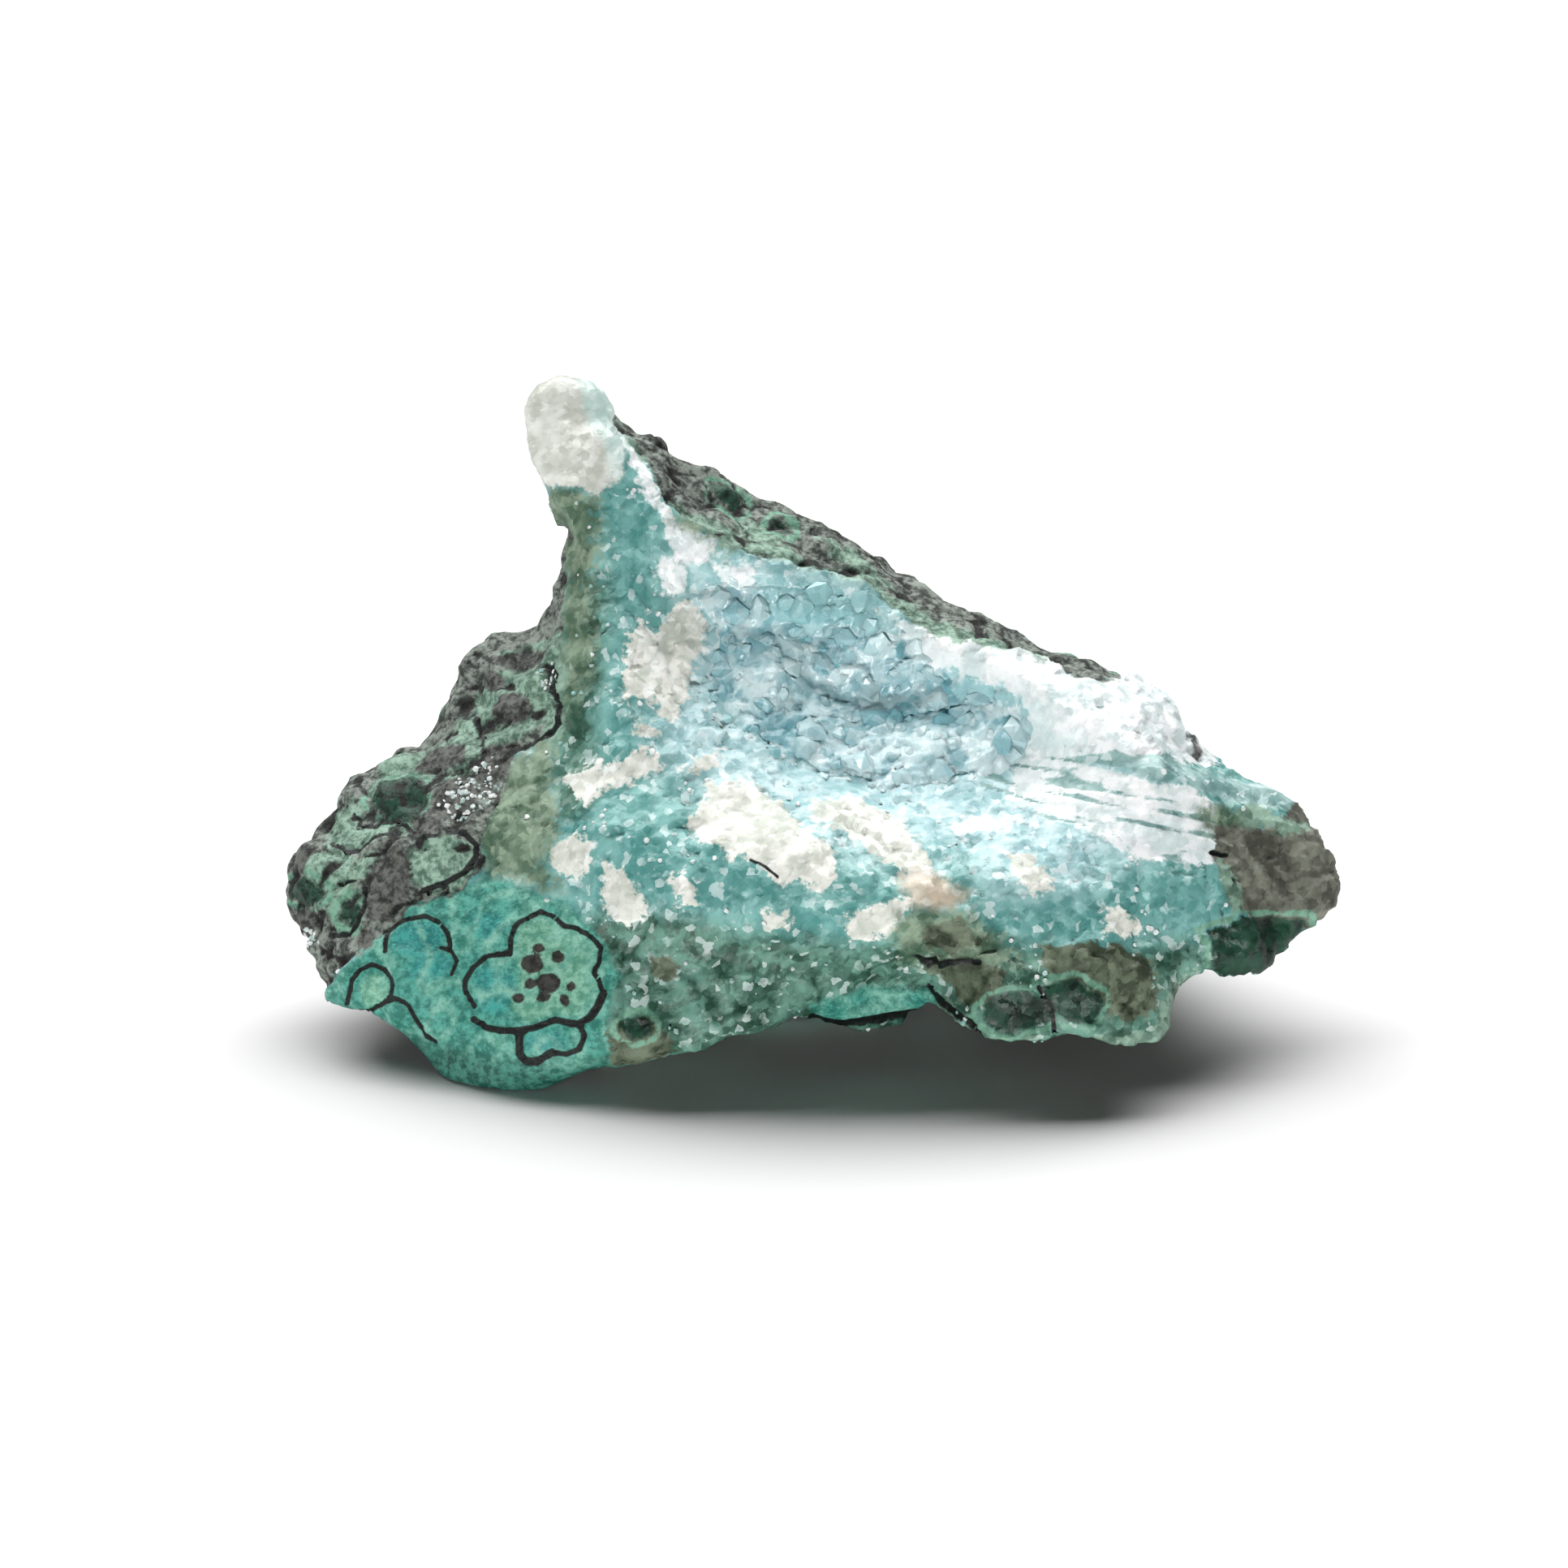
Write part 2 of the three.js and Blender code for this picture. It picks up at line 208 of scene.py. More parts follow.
# %% Outlines of the zones, in pixels of the photograph
ZONES = {
    "deep_and_shade": [  # greener stone along the lower edge, painted darker too as shade where it faces down
        [(720, 1130), (790, 1115), (880, 1135), (960, 1150), (1040, 1165), (1090, 1150), (1130, 1120),
         (1200, 1130), (1250, 1165), (1330, 1175), (1440, 1160), (1520, 1160), (1540, 1320),
         (1000, 1320), (740, 1330)],
        [(690, 720), (752, 720), (748, 800), (735, 900), (742, 960), (715, 1010), (680, 1000), (690, 900)],
    ],
    "pale": [  # milky blue round the hollow
        [(835, 690), (930, 686), (1050, 708), (1130, 760), (1290, 850), (1400, 930), (1480, 1000),
         (1400, 1050), (1330, 1090), (1240, 1100), (1190, 1050), (1060, 1050), (960, 1020), (890, 990),
         (840, 960), (800, 900), (815, 830), (845, 780)],
    ],
    "streak": [  # teal fibres of the right end
        [(1332, 927), (1376, 923), (1414, 928), (1450, 940), (1500, 945), (1560, 965), (1605, 988),
         (1590, 1002), (1540, 988), (1500, 975), (1459, 962), (1414, 951), (1367, 941)],
    ],
    "frost": [  # white quartz along the ridge, on the spur and in the hollow
        [(1112, 762), (1179, 771), (1198, 789), (1242, 805), (1300, 821), (1370, 830), (1400, 800),
         (1460, 840), (1510, 900), (1500, 935), (1453, 940), (1414, 930), (1332, 925), (1345, 943),
         (1400, 956), (1459, 968), (1500, 985), (1500, 1066), (1414, 1058), (1367, 1040), (1319, 1024),
         (1270, 1000), (1240, 985), (1245, 945), (1250, 905), (1272, 888), (1250, 859), (1217, 840),
         (1191, 824), (1140, 820), (1104, 798)],
        [(1145, 942), (1194, 896), (1230, 929), (1205, 946)],
        [(1207, 900), (1225, 882), (1258, 874), (1250, 891)],
        [(766, 536), (790, 568), (806, 596), (822, 632), (886, 664), (872, 690), (835, 697), (818, 650),
         (796, 606), (776, 575)],
        [(812, 690), (850, 700), (838, 735), (814, 730)],
        [(870, 688), (931, 706), (931, 742), (915, 738), (890, 710)],
        [(864, 748), (906, 756), (900, 766), (866, 758)],
        [(985, 748), (1010, 732), (1008, 762), (990, 766)],
        oval(972, 788, 11, 14),
        [(1160, 1020), (1204, 1000), (1262, 1004), (1240, 1018), (1178, 1030)],
    ],
    "cream": [  # flaky cream crust
        [(790, 762), (806, 780), (827, 744), (845, 738), (870, 757), (873, 793), (861, 818),
         (845, 858), (830, 891), (815, 888), (809, 867), (769, 864), (769, 790)],
        [(778, 884), (800, 890), (822, 905), (790, 908)],
        [(698, 959), (738, 937), (750, 943), (793, 925), (815, 934), (812, 949), (772, 959),
         (741, 971), (720, 989), (704, 977)],
        [(842, 952), (864, 934), (894, 925), (891, 946), (864, 959)],
        [(876, 968), (919, 965), (943, 986), (974, 1001), (1001, 1023), (1026, 1050), (1035, 1075),
         (1017, 1099), (995, 1087), (965, 1090), (925, 1060), (894, 1053), (864, 1032), (851, 1011)],
        [(680, 1044), (712, 1030), (734, 1040), (728, 1062), (706, 1084), (686, 1072)],
        [(742, 1056), (764, 1070), (781, 1087), (806, 1121), (776, 1144), (752, 1128), (744, 1092)],
        [(990, 985), (1060, 990), (1110, 1010), (1140, 1050), (1150, 1085), (1120, 1095),
         (1090, 1060), (1060, 1035), (1010, 1015)],
        [(1242, 1056), (1271, 1050), (1300, 1082), (1285, 1105), (1255, 1088)],
        [(1360, 1125), (1380, 1120), (1402, 1142), (1383, 1158), (1360, 1149)],
        [(1040, 1125), (1130, 1100), (1110, 1145), (1050, 1160)],
        [(940, 1125), (975, 1120), (980, 1140), (950, 1145)],
        [(826, 1085), (850, 1080), (858, 1110), (838, 1118)],
    ],
    "peach": [  # a warm stain on the crust
        [(1099, 1085), (1140, 1066), (1191, 1094), (1172, 1118), (1127, 1116)],
    ],
    "olive": [  # yellow-green stone between the rind and the face
        [(650, 590), (735, 604), (738, 680), (728, 735), (735, 800), (716, 850), (700, 900), (690, 935),
         (682, 980), (694, 1020), (672, 1060), (690, 1095), (600, 1085), (570, 1030), (600, 950),
         (655, 915), (680, 860), (690, 800), (700, 700), (660, 640)],
        [(1477, 998), (1500, 990), (1560, 1003), (1570, 1026), (1490, 1030)],
        [(822, 640), (900, 680), (1000, 694), (1100, 725), (1200, 788), (1280, 815),
         (1280, 800), (1150, 730), (1000, 660), (880, 620)],
        [(1100, 1130), (1170, 1118), (1243, 1160), (1260, 1190), (1180, 1190), (1110, 1180)],
    ],
    "turquoise": [  # the polished-looking lower left lobe
        [(505, 1105), (560, 1095), (600, 1086), (640, 1094), (690, 1108), (742, 1150), (760, 1200),
         (742, 1260), (765, 1330), (700, 1375), (560, 1380), (500, 1300), (420, 1270), (390, 1225),
         (440, 1180), (480, 1128)],
        [(1000, 1240), (1060, 1215), (1145, 1220), (1150, 1250), (1000, 1262)],
    ],
    "blue": [  # bluer turquoise inside its rings
        oval(513, 1156, 32, 22, -12),
        oval(530, 1190, 28, 17, -18),
        [(585, 1195), (618, 1188), (632, 1210), (622, 1250), (596, 1248), (583, 1225)],
        oval(600, 1140, 24, 16),
        oval(672, 1284, 26, 14),
    ],
    "mint": [  # pale green inside the rings
        [(640, 1140), (666, 1127), (683, 1134), (711, 1148), (733, 1167), (730, 1195), (736, 1230),
         (715, 1252), (680, 1250), (650, 1262), (630, 1240), (640, 1200), (632, 1175)],
        oval(462, 1222, 18, 22),
    ],
    "foot_shade": [  # painted shade on the foot of the lobe, which faces down
        [(470, 1275), (560, 1290), (640, 1315), (720, 1312), (760, 1290), (770, 1340), (700, 1380),
         (560, 1390), (490, 1320)],
    ],
    "rind": [  # dark brown-grey rind
        [(705, 650), (692, 760), (690, 800), (680, 830), (690, 860), (690, 895), (660, 912), (640, 925),
         (622, 960), (605, 1000), (588, 1030), (592, 1062), (568, 1096), (508, 1112), (498, 1132),
         (455, 1162), (420, 1190), (390, 1235), (320, 1240), (320, 880), (480, 700), (640, 640)],
        [(745, 480), (768, 530), (800, 573), (822, 619), (886, 662), (935, 688), (1000, 694),
         (1080, 720), (1128, 762), (1185, 784), (1274, 812), (1376, 838), (1400, 790), (1240, 690),
         (1000, 570), (800, 470)],
    ],
    "tip": [  # grey, finely streaked stone
        [(1490, 1015), (1560, 1022), (1605, 985), (1680, 1000), (1680, 1160), (1600, 1150), (1545, 1135),
         (1515, 1110), (1495, 1060)],
    ],
    "rosette": [  # grey-olive crust along the lower edge
        [(1275, 1172), (1330, 1160), (1380, 1164), (1420, 1180), (1436, 1230), (1400, 1255), (1362, 1245),
         (1345, 1215), (1290, 1205)],
        [(1135, 1150), (1180, 1130), (1215, 1160), (1170, 1180), (1135, 1175)],
        [(1139, 1186), (1200, 1178), (1240, 1196), (1220, 1240), (1180, 1232)],
        oval(818, 1195, 20, 16),
        [(740, 1262), (800, 1256), (830, 1290), (815, 1310), (755, 1330)],
    ],
    "sage": [  # grey-green skin on the rind
        [(585, 822), (640, 812), (672, 826), (688, 850), (686, 892), (640, 908), (604, 918), (590, 945),
         (566, 940), (548, 900), (560, 850)],
        [(396, 1000), (430, 976), (445, 1009), (500, 1006), (520, 1022), (470, 1034), (430, 1044),
         (390, 1046)],
        [(382, 1050), (420, 1044), (436, 1060), (424, 1100), (396, 1112), (368, 1100)],
        oval(540, 1062, 44, 36, -15),
        oval(447, 1062, 20, 12),
        oval(424, 1117, 22, 30),
        [(604, 790), (690, 770), (700, 900), (690, 925), (672, 900), (686, 850), (660, 815)],
        [(465, 930), (560, 900), (600, 945), (520, 965), (455, 965)],
        [(742, 488), (775, 520), (800, 560), (788, 568), (768, 530)],
        [(822, 612), (880, 630), (960, 664), (1080, 708), (1150, 752), (1230, 788), (1290, 817),
         (1200, 794), (1128, 766), (1080, 724), (1000, 698), (900, 674)],
        [(900, 612), (950, 640), (985, 672), (930, 655)],
        [(1000, 640), (1060, 670), (1120, 720), (1060, 700)],
        [(1512, 992), (1560, 998), (1616, 1018), (1600, 1030), (1540, 1016)],
        [(1500, 1060), (1525, 1070), (1530, 1130), (1508, 1110)],
        [(1150, 1225), (1205, 1255), (1215, 1282), (1300, 1282), (1420, 1268), (1440, 1225), (1470, 1200),
         (1440, 1290), (1300, 1310), (1180, 1290)],
    ],
    "malachite": [  # dark green
        [(446, 985), (470, 958), (510, 955), (524, 980), (508, 1004), (470, 1008)],
        oval(376, 1096, 20, 20),
        oval(425, 1120, 12, 18),
        oval(1250, 1250, 42, 27),
        [(1284, 1212), (1325, 1205), (1360, 1222), (1352, 1255), (1310, 1262), (1290, 1240)],
        [(1484, 1150), (1530, 1128), (1600, 1130), (1625, 1150), (1570, 1195), (1500, 1205)],
        oval(778, 1268, 24, 12),
        oval(905, 600, 22, 9, 35),
        oval(966, 636, 16, 7, 30),
    ],
    "umber": [  # dark grey-brown patches
        oval(622, 868, 27, 22),
        oval(592, 829, 15, 13),
        [(588, 800), (640, 782), (676, 792), (660, 806), (610, 812)],
        [(500, 940), (520, 915), (568, 910), (572, 935), (530, 944)],
        [(588, 915), (634, 912), (628, 945), (600, 960), (560, 1005), (522, 1000), (535, 955), (575, 945)],
        [(500, 1000), (536, 1000), (540, 1028), (505, 1030)],
        [(442, 1075), (465, 1052), (490, 1030), (500, 1060), (505, 1100), (480, 1136), (446, 1130)],
        oval(368, 1058, 12, 22, 15),
        oval(372, 1136, 17, 18),
        oval(448, 1156, 12, 13),
        [(1466, 900), (1474, 898), (1486, 926), (1480, 932)],
    ],
    "spots": [  # dark spots inside the largest ring
        oval(655, 1187, 14, 12), oval(675, 1210, 15, 13), oval(686, 1178, 9, 8), oval(664, 1168, 8, 6),
        oval(652, 1211, 8, 7), oval(638, 1229, 8, 6), oval(669, 1229, 9, 6), oval(695, 1232, 6, 9, -30),
        oval(703, 1215, 6, 6),
    ],
    "cap": [  # milky quartz
        [(600, 500), (650, 430), (725, 440), (752, 492), (770, 540), (762, 588), (735, 604),
         (700, 600), (640, 590)],
    ],
    "bloom": [  # the pale green side of the cap
        [(712, 470), (745, 476), (772, 530), (764, 585), (748, 590), (738, 545), (718, 505)],
    ],
}
INK_LINES = [  # black lines, each a half-width and its corners
    (3.0, [(475, 1172), (475, 1160), (478, 1147), (495, 1134), (523, 1129), (540, 1136), (551, 1150),
           (554, 1166)]),
    (2.4, [(542, 1167), (556, 1172), (562, 1183), (556, 1200)]),
    (3.0, [(427, 1237), (433, 1209), (444, 1195), (458, 1188), (475, 1195), (483, 1209), (482, 1226),
           (472, 1237), (455, 1247), (441, 1248)]),
    (2.8, [(475, 1235), (489, 1230), (503, 1237), (512, 1254), (520, 1268)]),
    (2.6, [(523, 1276), (537, 1284)]),
    (3.2, [(628, 1175), (629, 1155), (635, 1139), (652, 1130), (666, 1123), (683, 1130), (694, 1141),
           (711, 1144), (728, 1155), (739, 1167), (737, 1183), (730, 1197), (736, 1206), (742, 1223)]),
    (5.4, [(742, 1223), (736, 1240), (725, 1254)]),
    (4.2, [(725, 1254), (708, 1262), (683, 1256), (663, 1265), (641, 1270), (618, 1270), (599, 1266),
           (582, 1256)]),
    (3.4, [(584, 1240), (573, 1223), (572, 1209), (582, 1192), (599, 1178), (613, 1174), (628, 1175)]),
    (5.0, [(641, 1273), (641, 1299), (649, 1307), (663, 1307), (680, 1296)]),
    (3.4, [(680, 1296), (697, 1299), (714, 1293), (719, 1276), (715, 1265)]),
    (3.4, [(571, 880), (585, 905), (590, 926)]),
    (3.8, [(667, 814), (684, 830), (673, 847), (689, 869), (689, 893), (678, 904), (648, 913),
           (634, 921)]),
    (3.2, [(431, 998), (445, 1009), (462, 1009), (489, 1006), (500, 1017), (503, 1027), (533, 1027)]),
    (3.0, [(404, 1033), (423, 1042), (440, 1039), (459, 1028), (484, 1022)]),
    (3.8, [(549, 1018), (571, 1025), (582, 1039), (585, 1055), (571, 1075), (547, 1088), (516, 1099)]),
    (3.6, [(440, 1094), (445, 1116), (437, 1138), (420, 1149), (401, 1151)]),
    (2.8, [(410, 1087), (429, 1083)]),
    (3.4, [(1128, 1180), (1145, 1188), (1205, 1186)]),
    (3.4, [(1143, 1215), (1160, 1232), (1195, 1262), (1215, 1285)]),
    (3.0, [(1280, 1215), (1296, 1240), (1300, 1275)]),
    (1.8, [(925, 1060), (942, 1068), (958, 1080)]),
    (5.0, [(1000, 1254), (1040, 1260), (1090, 1253), (1143, 1245)]),
    (3.0, [(1494, 1049), (1512, 1053)]),
    (2.6, [(1002, 838), (1012, 852), (1016, 862)]),
]
print(len(ZONES), "zones,", sum(map(len, ZONES.values())), "outlines,", len(INK_LINES), "lines")

# %% [markdown]
# ## From outlines to attributes
# Only what faces the camera follows the outlines. The rest is a darker shell of rounded lumps, with
# green skin on the tops of some, because such stones are broken out of a rind on all other sides.
# Before the distances are taken, the pixels are warped a little with noise, so that no edge runs as
# straight as it was drawn. The black rings are thinner than the mesh, so its nearest points are first
# pulled onto them, and the lines stay unbroken. Veins, rims and fibres are lines too, but they are
# grown from noise and from the edges of zones instead of being drawn.

# %% Distances inside outlines
OUT_OF_SIGHT = 2.0  # mm inside or outside, on what the photograph doesn't show
WARP = [(70, 9.0), (22, 6.0)]  # lengths and heights of the warping waves, in pixels
WARP_APART = 0.05  # metres between the noise for x and for y, so that they differ


def waves(points, height, length):
    """Soft noise of that height, in waves of that length in mm."""
    return height * smooth_noise(points, length * MM)


def warped(px, points):
    moved = px.copy()
    for length, height in WARP:
        moved[:, 0] += waves(points, height, length / PX_PER_MM)
        moved[:, 1] += waves(points + WARP_APART, height, length / PX_PER_MM)
    return moved


def inside_mm(outlines, px):
    inside = np.max([patch_distance(px, corners) for corners in outlines], axis=0)
    return np.clip(inside / PX_PER_MM, -OUT_OF_SIGHT, OUT_OF_SIGHT)


print("edges wander by up to about", sum(height for _, height in WARP), "px")

# %% Fibres and lumps out of noise
FAN_START = np.array((825, 869))  # the pixel that the fibres spread from
FAN_REACH = 555  # how far from there they are seen, in pixels
FIBRE_SIZE = np.array((110, 8))  # length and width of a fibre, in pixels
LUMP = np.array((2.4, 1.6, 1.4)) * MM  # length, depth and height of the rind's lumps
LUMP_BEND = 0.3  # how far the lumps are bent out of shape, in lumps
BEND_SEED = 5  # noise_vector starts from the clock unless it is seeded


def fibre_wave(px):
    """Soft noise drawn out into fibres that spread to the right."""
    way = px - FAN_START
    along = np.linalg.norm(way, axis=1)
    across = np.arctan2(way[:, 1], way[:, 0]) * FAN_REACH
    flat = np.stack((along / FIBRE_SIZE[0], across / FIBRE_SIZE[1], np.zeros(len(px))), axis=1)
    return smooth_noise(flat, 1.0)


def lumps(points):
    """Height of the rind's lumps, 1 at their tops, and the distance to the seam round each in mm."""
    noise.seed_set(BEND_SEED)
    places = points / LUMP
    bends = np.array([noise.noise_vector(Vector(place)) for place in places])
    cells = np.array([noise.voronoi(Vector(place))[0][:2] for place in places + LUMP_BEND * bends])
    return 1 - cells[:, 0], (cells[:, 1] - cells[:, 0]) / 2 * LUMP.mean() / MM


print("lumps of", LUMP / MM, "mm, fibres of", FIBRE_SIZE, "px")

# %% Pull points onto the black lines
FACING = (-0.12, 0.18)  # the photograph fades out between these slopes
PULL = 3.2  # points this near to a black line are pulled onto it, in pixels


def pulled_to_lines(points, normals):
    """The points, with those beside a black line moved across the line of sight onto it."""
    px = photo_px(points)
    offsets = [line_offset(px, line) for _, line in INK_LINES]
    distances = np.linalg.norm(offsets, axis=2)
    nearest = np.argmin(distances, axis=0)
    offset = np.stack(offsets)[nearest, np.arange(len(px))]
    is_near = (distances.min(axis=0) < PULL) & (normals @ TO_EYE > FACING[1])
    depth = (eye - points) @ TO_EYE / SIGHT
    way = (offset[:, :1] * RIGHT - offset[:, 1:] * UP) / PX_PER_MM * MM * depth[:, None]
    return points + np.where(is_near[:, None], way, 0)


smoothed = read_points(stone.data)
normals = read_normals(stone.data)
points = pulled_to_lines(smoothed, normals)
stone.data.vertices.foreach_set("co", points.ravel())
stone.data.update()
print("points pulled onto black lines:", int((points != smoothed).any(axis=1).sum()))

# %% Zone distances of every point
ON_ALL_SIDES = ("cap", "bloom")  # zones that go round to what the photograph doesn't show
DRAWN_EXACTLY = ("umber", "blue", "mint", "spots")  # zones whose outlines aren't warped
SEAM_WAVE = (0.4, 1.2)  # how far the seams between lumps reach, and the length of their bends, in mm; the seams are sunk and painted dark as shade
SKIN_WAVES = [(1.5, 8), (0.4, 2)]  # heights and lengths of the hidden skin's edge, in mm
SKIN_DOME = 0.6  # the skin keeps to the lumps' tops, above this height
SKIN_RISE = 1.8  # mm of skin for each unit of height
RIM_WIDTH = 0.28  # the pale rim round the malachite, in mm
VEIN_SIZE = 1.7  # the bends of the pale veins in the turquoise, in mm
VEIN_WIDTH = 0.12  # mm
VEIN_FALL = 0.6  # how fast a vein thins out away from its middle, in mm
FIBRE_STEEP = 0.8  # mm for each unit of the fibres' noise
FIBRE_THIN = 0.18  # mm taken off each fibre
FIBRE_BREAK = (0.3, 1.5)  # height and length of the noise that breaks fibres up, in mm
FIBRE_ZONE = [(1200, 940), (1330, 930), (1480, 940), (1610, 985), (1600, 1010), (1500, 1066),
              (1400, 1055), (1300, 1015), (1210, 975)]


def zone_fields(points, normals):
    """Millimetres inside each zone's edge, for points of the lump."""
    px = photo_px(points)
    loose = warped(px, points)
    shown = smoothstep(normals @ TO_EYE, *FACING)
    fields = {}
    for zone, outlines in ZONES.items():
        inside = inside_mm(outlines, px if zone in DRAWN_EXACTLY else loose)
        hidden = OUT_OF_SIGHT if zone == "rind" else -OUT_OF_SIGHT
        fields[zone] = inside if zone in ON_ALL_SIDES else hidden + shown * (inside - hidden)
    fields["shown"] = shown
    fields["shell"] = OUT_OF_SIGHT * (1 - 2 * shown)

    dome, seam = lumps(points)
    skin = sum(waves(points, *wave) for wave in SKIN_WAVES) + SKIN_RISE * (dome - SKIN_DOME)
    is_hidden = shown < 0.5
    fields["dome"] = dome
    # pits: the seams between the rind's lumps, sunk in the relief and painted dark as shade
    fields["pit_and_shade"] = np.minimum(waves(points, *SEAM_WAVE) - seam, fields["rind"])
    fields["skin"] = np.where(is_hidden, skin, -OUT_OF_SIGHT)
    fields["rim"] = RIM_WIDTH / 2 - np.abs(fields["malachite"] + RIM_WIDTH)
    lines = np.max([half - line_distance(px, line) for half, line in INK_LINES], axis=0) / PX_PER_MM
    fields["ink"] = np.where(is_hidden, -OUT_OF_SIGHT, lines)

    wavy = VEIN_WIDTH / 2 - np.abs(waves(points, VEIN_FALL, VEIN_SIZE))
    fields["vein"] = np.minimum(wavy, fields["turquoise"] - VEIN_WIDTH)
    fields["fibre"] = fibre_wave(px)
    fields["fan"] = np.where(is_hidden, -OUT_OF_SIGHT, inside_mm([FIBRE_ZONE], px))
    thinned = FIBRE_THIN - waves(points, *FIBRE_BREAK)
    thread = np.minimum(fields["fan"], -FIBRE_STEEP * fields["fibre"] - thinned)
    fields["streak"] = np.maximum(fields["streak"], thread)
    return fields, px


fields, px = zone_fields(points, normals)
print("points:", len(points), "seen:", int((fields["shown"] > 0.5).sum()))

# %% [markdown]
# ## Relief
# The rind is knobbly, the face is broken into many little planes, the cream crust lies on top of it,
# fibres run out to the right, and black rings are cracks. All of it is added up as one height per
# point, stored as two weights, and the Displace modifier moves the surface by them along its
# normals. The flat that the stone rests on stays flat.

# %% Break the surface into little planes
FACET_HASH = 97.0  # spreads neighbouring cells' random tilts apart
LEVEL = Vector((0.5, 0.5, 0.5))  # the middle of all tilts
BLOCK = 1.6 * MM  # size of the larger planes
CHIP = 0.75 * MM  # and of the smaller ones


def facets(points, size):
    """Broken facets: each cell of a crackle is a plane with its own tilt and tone."""
    heights = np.empty(len(points))
    tones = np.empty(len(points))
    for index, place in enumerate(map(Vector, points / size)):
        centre = noise.voronoi(place)[1][0]
        tilt = noise.cell_vector(centre * FACET_HASH)
        heights[index] = (place - centre).dot(tilt - LEVEL)
        tones[index] = tilt.x
    return heights * size / MM, tones


blocks, fields["tone"] = facets(points, BLOCK)
chips, fields["chip"] = facets(points, CHIP)
print(f"planes rise up to {blocks.max():.2f} and {chips.max():.2f} mm before they are eased")

# %% Where each kind of relief lies
ZONE_FADE = (-0.15, 0.15)  # relief sets in over these mm inside a zone's edge, as in the next three
FAN_FADE = (-0.6, 0.4)
CRACK_FADE = (-0.05, 0.12)
SEAM_FADE = (-0.1, 0.3)


def zone_weight(zone):
    return smoothstep(fields[zone], *ZONE_FADE)


cap = zone_weight("cap")
rind = zone_weight("rind") * (1 - cap)
smooth = np.maximum(zone_weight("turquoise"), cap)
knobs = np.maximum(zone_weight("rosette"), zone_weight("malachite"))
cracks = smoothstep(fields["ink"], *CRACK_FADE)
seams = smoothstep(fields["pit_and_shade"], *SEAM_FADE)
fan = smoothstep(fields["fan"], *FAN_FADE)
face = fields["shown"] * (1 - rind) * (1 - smooth)
fields["face"] = np.maximum(face, cap)
print(f"broken face: {face.mean():.0%} of the points, rind: {rind.mean():.0%}")

# %% Add up the relief and displace the lump
TILT = {"face": 0.35, "smooth": 0.1, "cap": 0.25}  # how steep the planes are
SWELLS = [(0.20, 4), (0.08, 1.5)]  # heights and lengths of the waves on the whole lump, in mm
ROUGH = {"rind": (0.2, 0.8), "face": (0.06, 0.5), "smooth": (0.06, 0.7), "cream": (0.14, 1.1)}  # on parts
HEIGHT = {"lumps": 0.6, "knobs": 0.3, "crust": 0.08, "fibres": 0.16, "tip": 0.14}  # mm
DEPTH = {"cracks": 0.10, "seams": 0.2}  # mm
LUMP_LEVEL = 1.1  # a dome of this height leaves the rind where it is
KNOB_LEVEL = 0.55  # and one of this height the dark green and the olive crust
FAN_CALM = 0.6  # how much less the face is broken where the fibres run
FLOOR_FADE = (0.15 * MM, 1.2 * MM)  # relief sets in between these heights above the floor
DENT_FADE = (-0.9, 0.9)  # and a dent over these mm inside its edge
DENTS = [  # depth in mm, and where the outline of the stone draws in, or swells if less than zero
    (0.7, [(542, 700), (680, 690), (660, 800), (595, 876), (556, 892)]),
    (0.5, [(440, 880), (520, 880), (530, 940), (450, 960)]),
    (0.5, [(760, 470), (1130, 640), (1130, 720), (900, 640), (790, 560)]),
    (0.5, [(1460, 880), (1530, 880), (1540, 960), (1480, 930)]),
    (-0.5, [(650, 420), (760, 420), (760, 500), (650, 500)]),
    (-0.4, [(1610, 980), (1700, 980), (1700, 1140), (1610, 1140)]),
    (-0.6, [(1490, 1160), (1620, 1160), (1600, 1230), (1490, 1230)]),
    (-0.35, [(330, 1040), (400, 1040), (400, 1130), (330, 1130)]),
]


def save_attribute(mesh, name, values):
    attribute = mesh.attributes.new(name, "FLOAT", "POINT")
    attribute.data.foreach_set("value", values)


def displace(obj, heights):
    """Moves each point along its normal by its height in mm, by way of two painted weights."""
    span = np.abs(heights).max()
    for name, sign in (("raised", 1), ("sunk", -1)):
        group = obj.vertex_groups.new(name=name)
        weights = np.clip(sign * heights / span, 0, 1)
        for index in np.flatnonzero(weights).tolist():
            group.add([index], weights[index], "REPLACE")
        strength = sign * span * MM
        apply_modifier(obj, name, "DISPLACE", strength=strength, mid_level=0.0, vertex_group=name)
    obj.vertex_groups.clear()


rough = {part: waves(points, *wave) for part, wave in ROUGH.items()}
relief = sum(waves(points, *swell) for swell in SWELLS)
relief += rind * (HEIGHT["lumps"] * (fields["dome"] - LUMP_LEVEL) + rough["rind"])
relief += face * (1 - FAN_CALM * fan) * (TILT["face"] * blocks + TILT["face"] * chips + rough["face"])
relief += smooth * (TILT["smooth"] * blocks + rough["smooth"]) + cap * TILT["cap"] * chips
relief += zone_weight("cream") * (HEIGHT["crust"] + np.abs(rough["cream"]))
relief += (HEIGHT["fibres"] * fan + HEIGHT["tip"] * zone_weight("tip")) * fields["fibre"]
relief += HEIGHT["knobs"] * knobs * (fields["dome"] - KNOB_LEVEL)
relief -= DEPTH["cracks"] * cracks + DEPTH["seams"] * seams
for depth, outline in DENTS:
    relief -= depth * smoothstep(inside_mm([outline], px), *DENT_FADE)
relief *= smoothstep(points[:, 2], *FLOOR_FADE)
select_only(stone)
displace(stone, relief)
for zone in (*ZONES, "shell", "skin", "vein", "rim", "ink", "pit_and_shade", "face", "tone", "chip"):
    save_attribute(stone.data, zone, fields[zone])
print(f"relief from {relief.min():.2f} to {relief.max():.2f} mm")

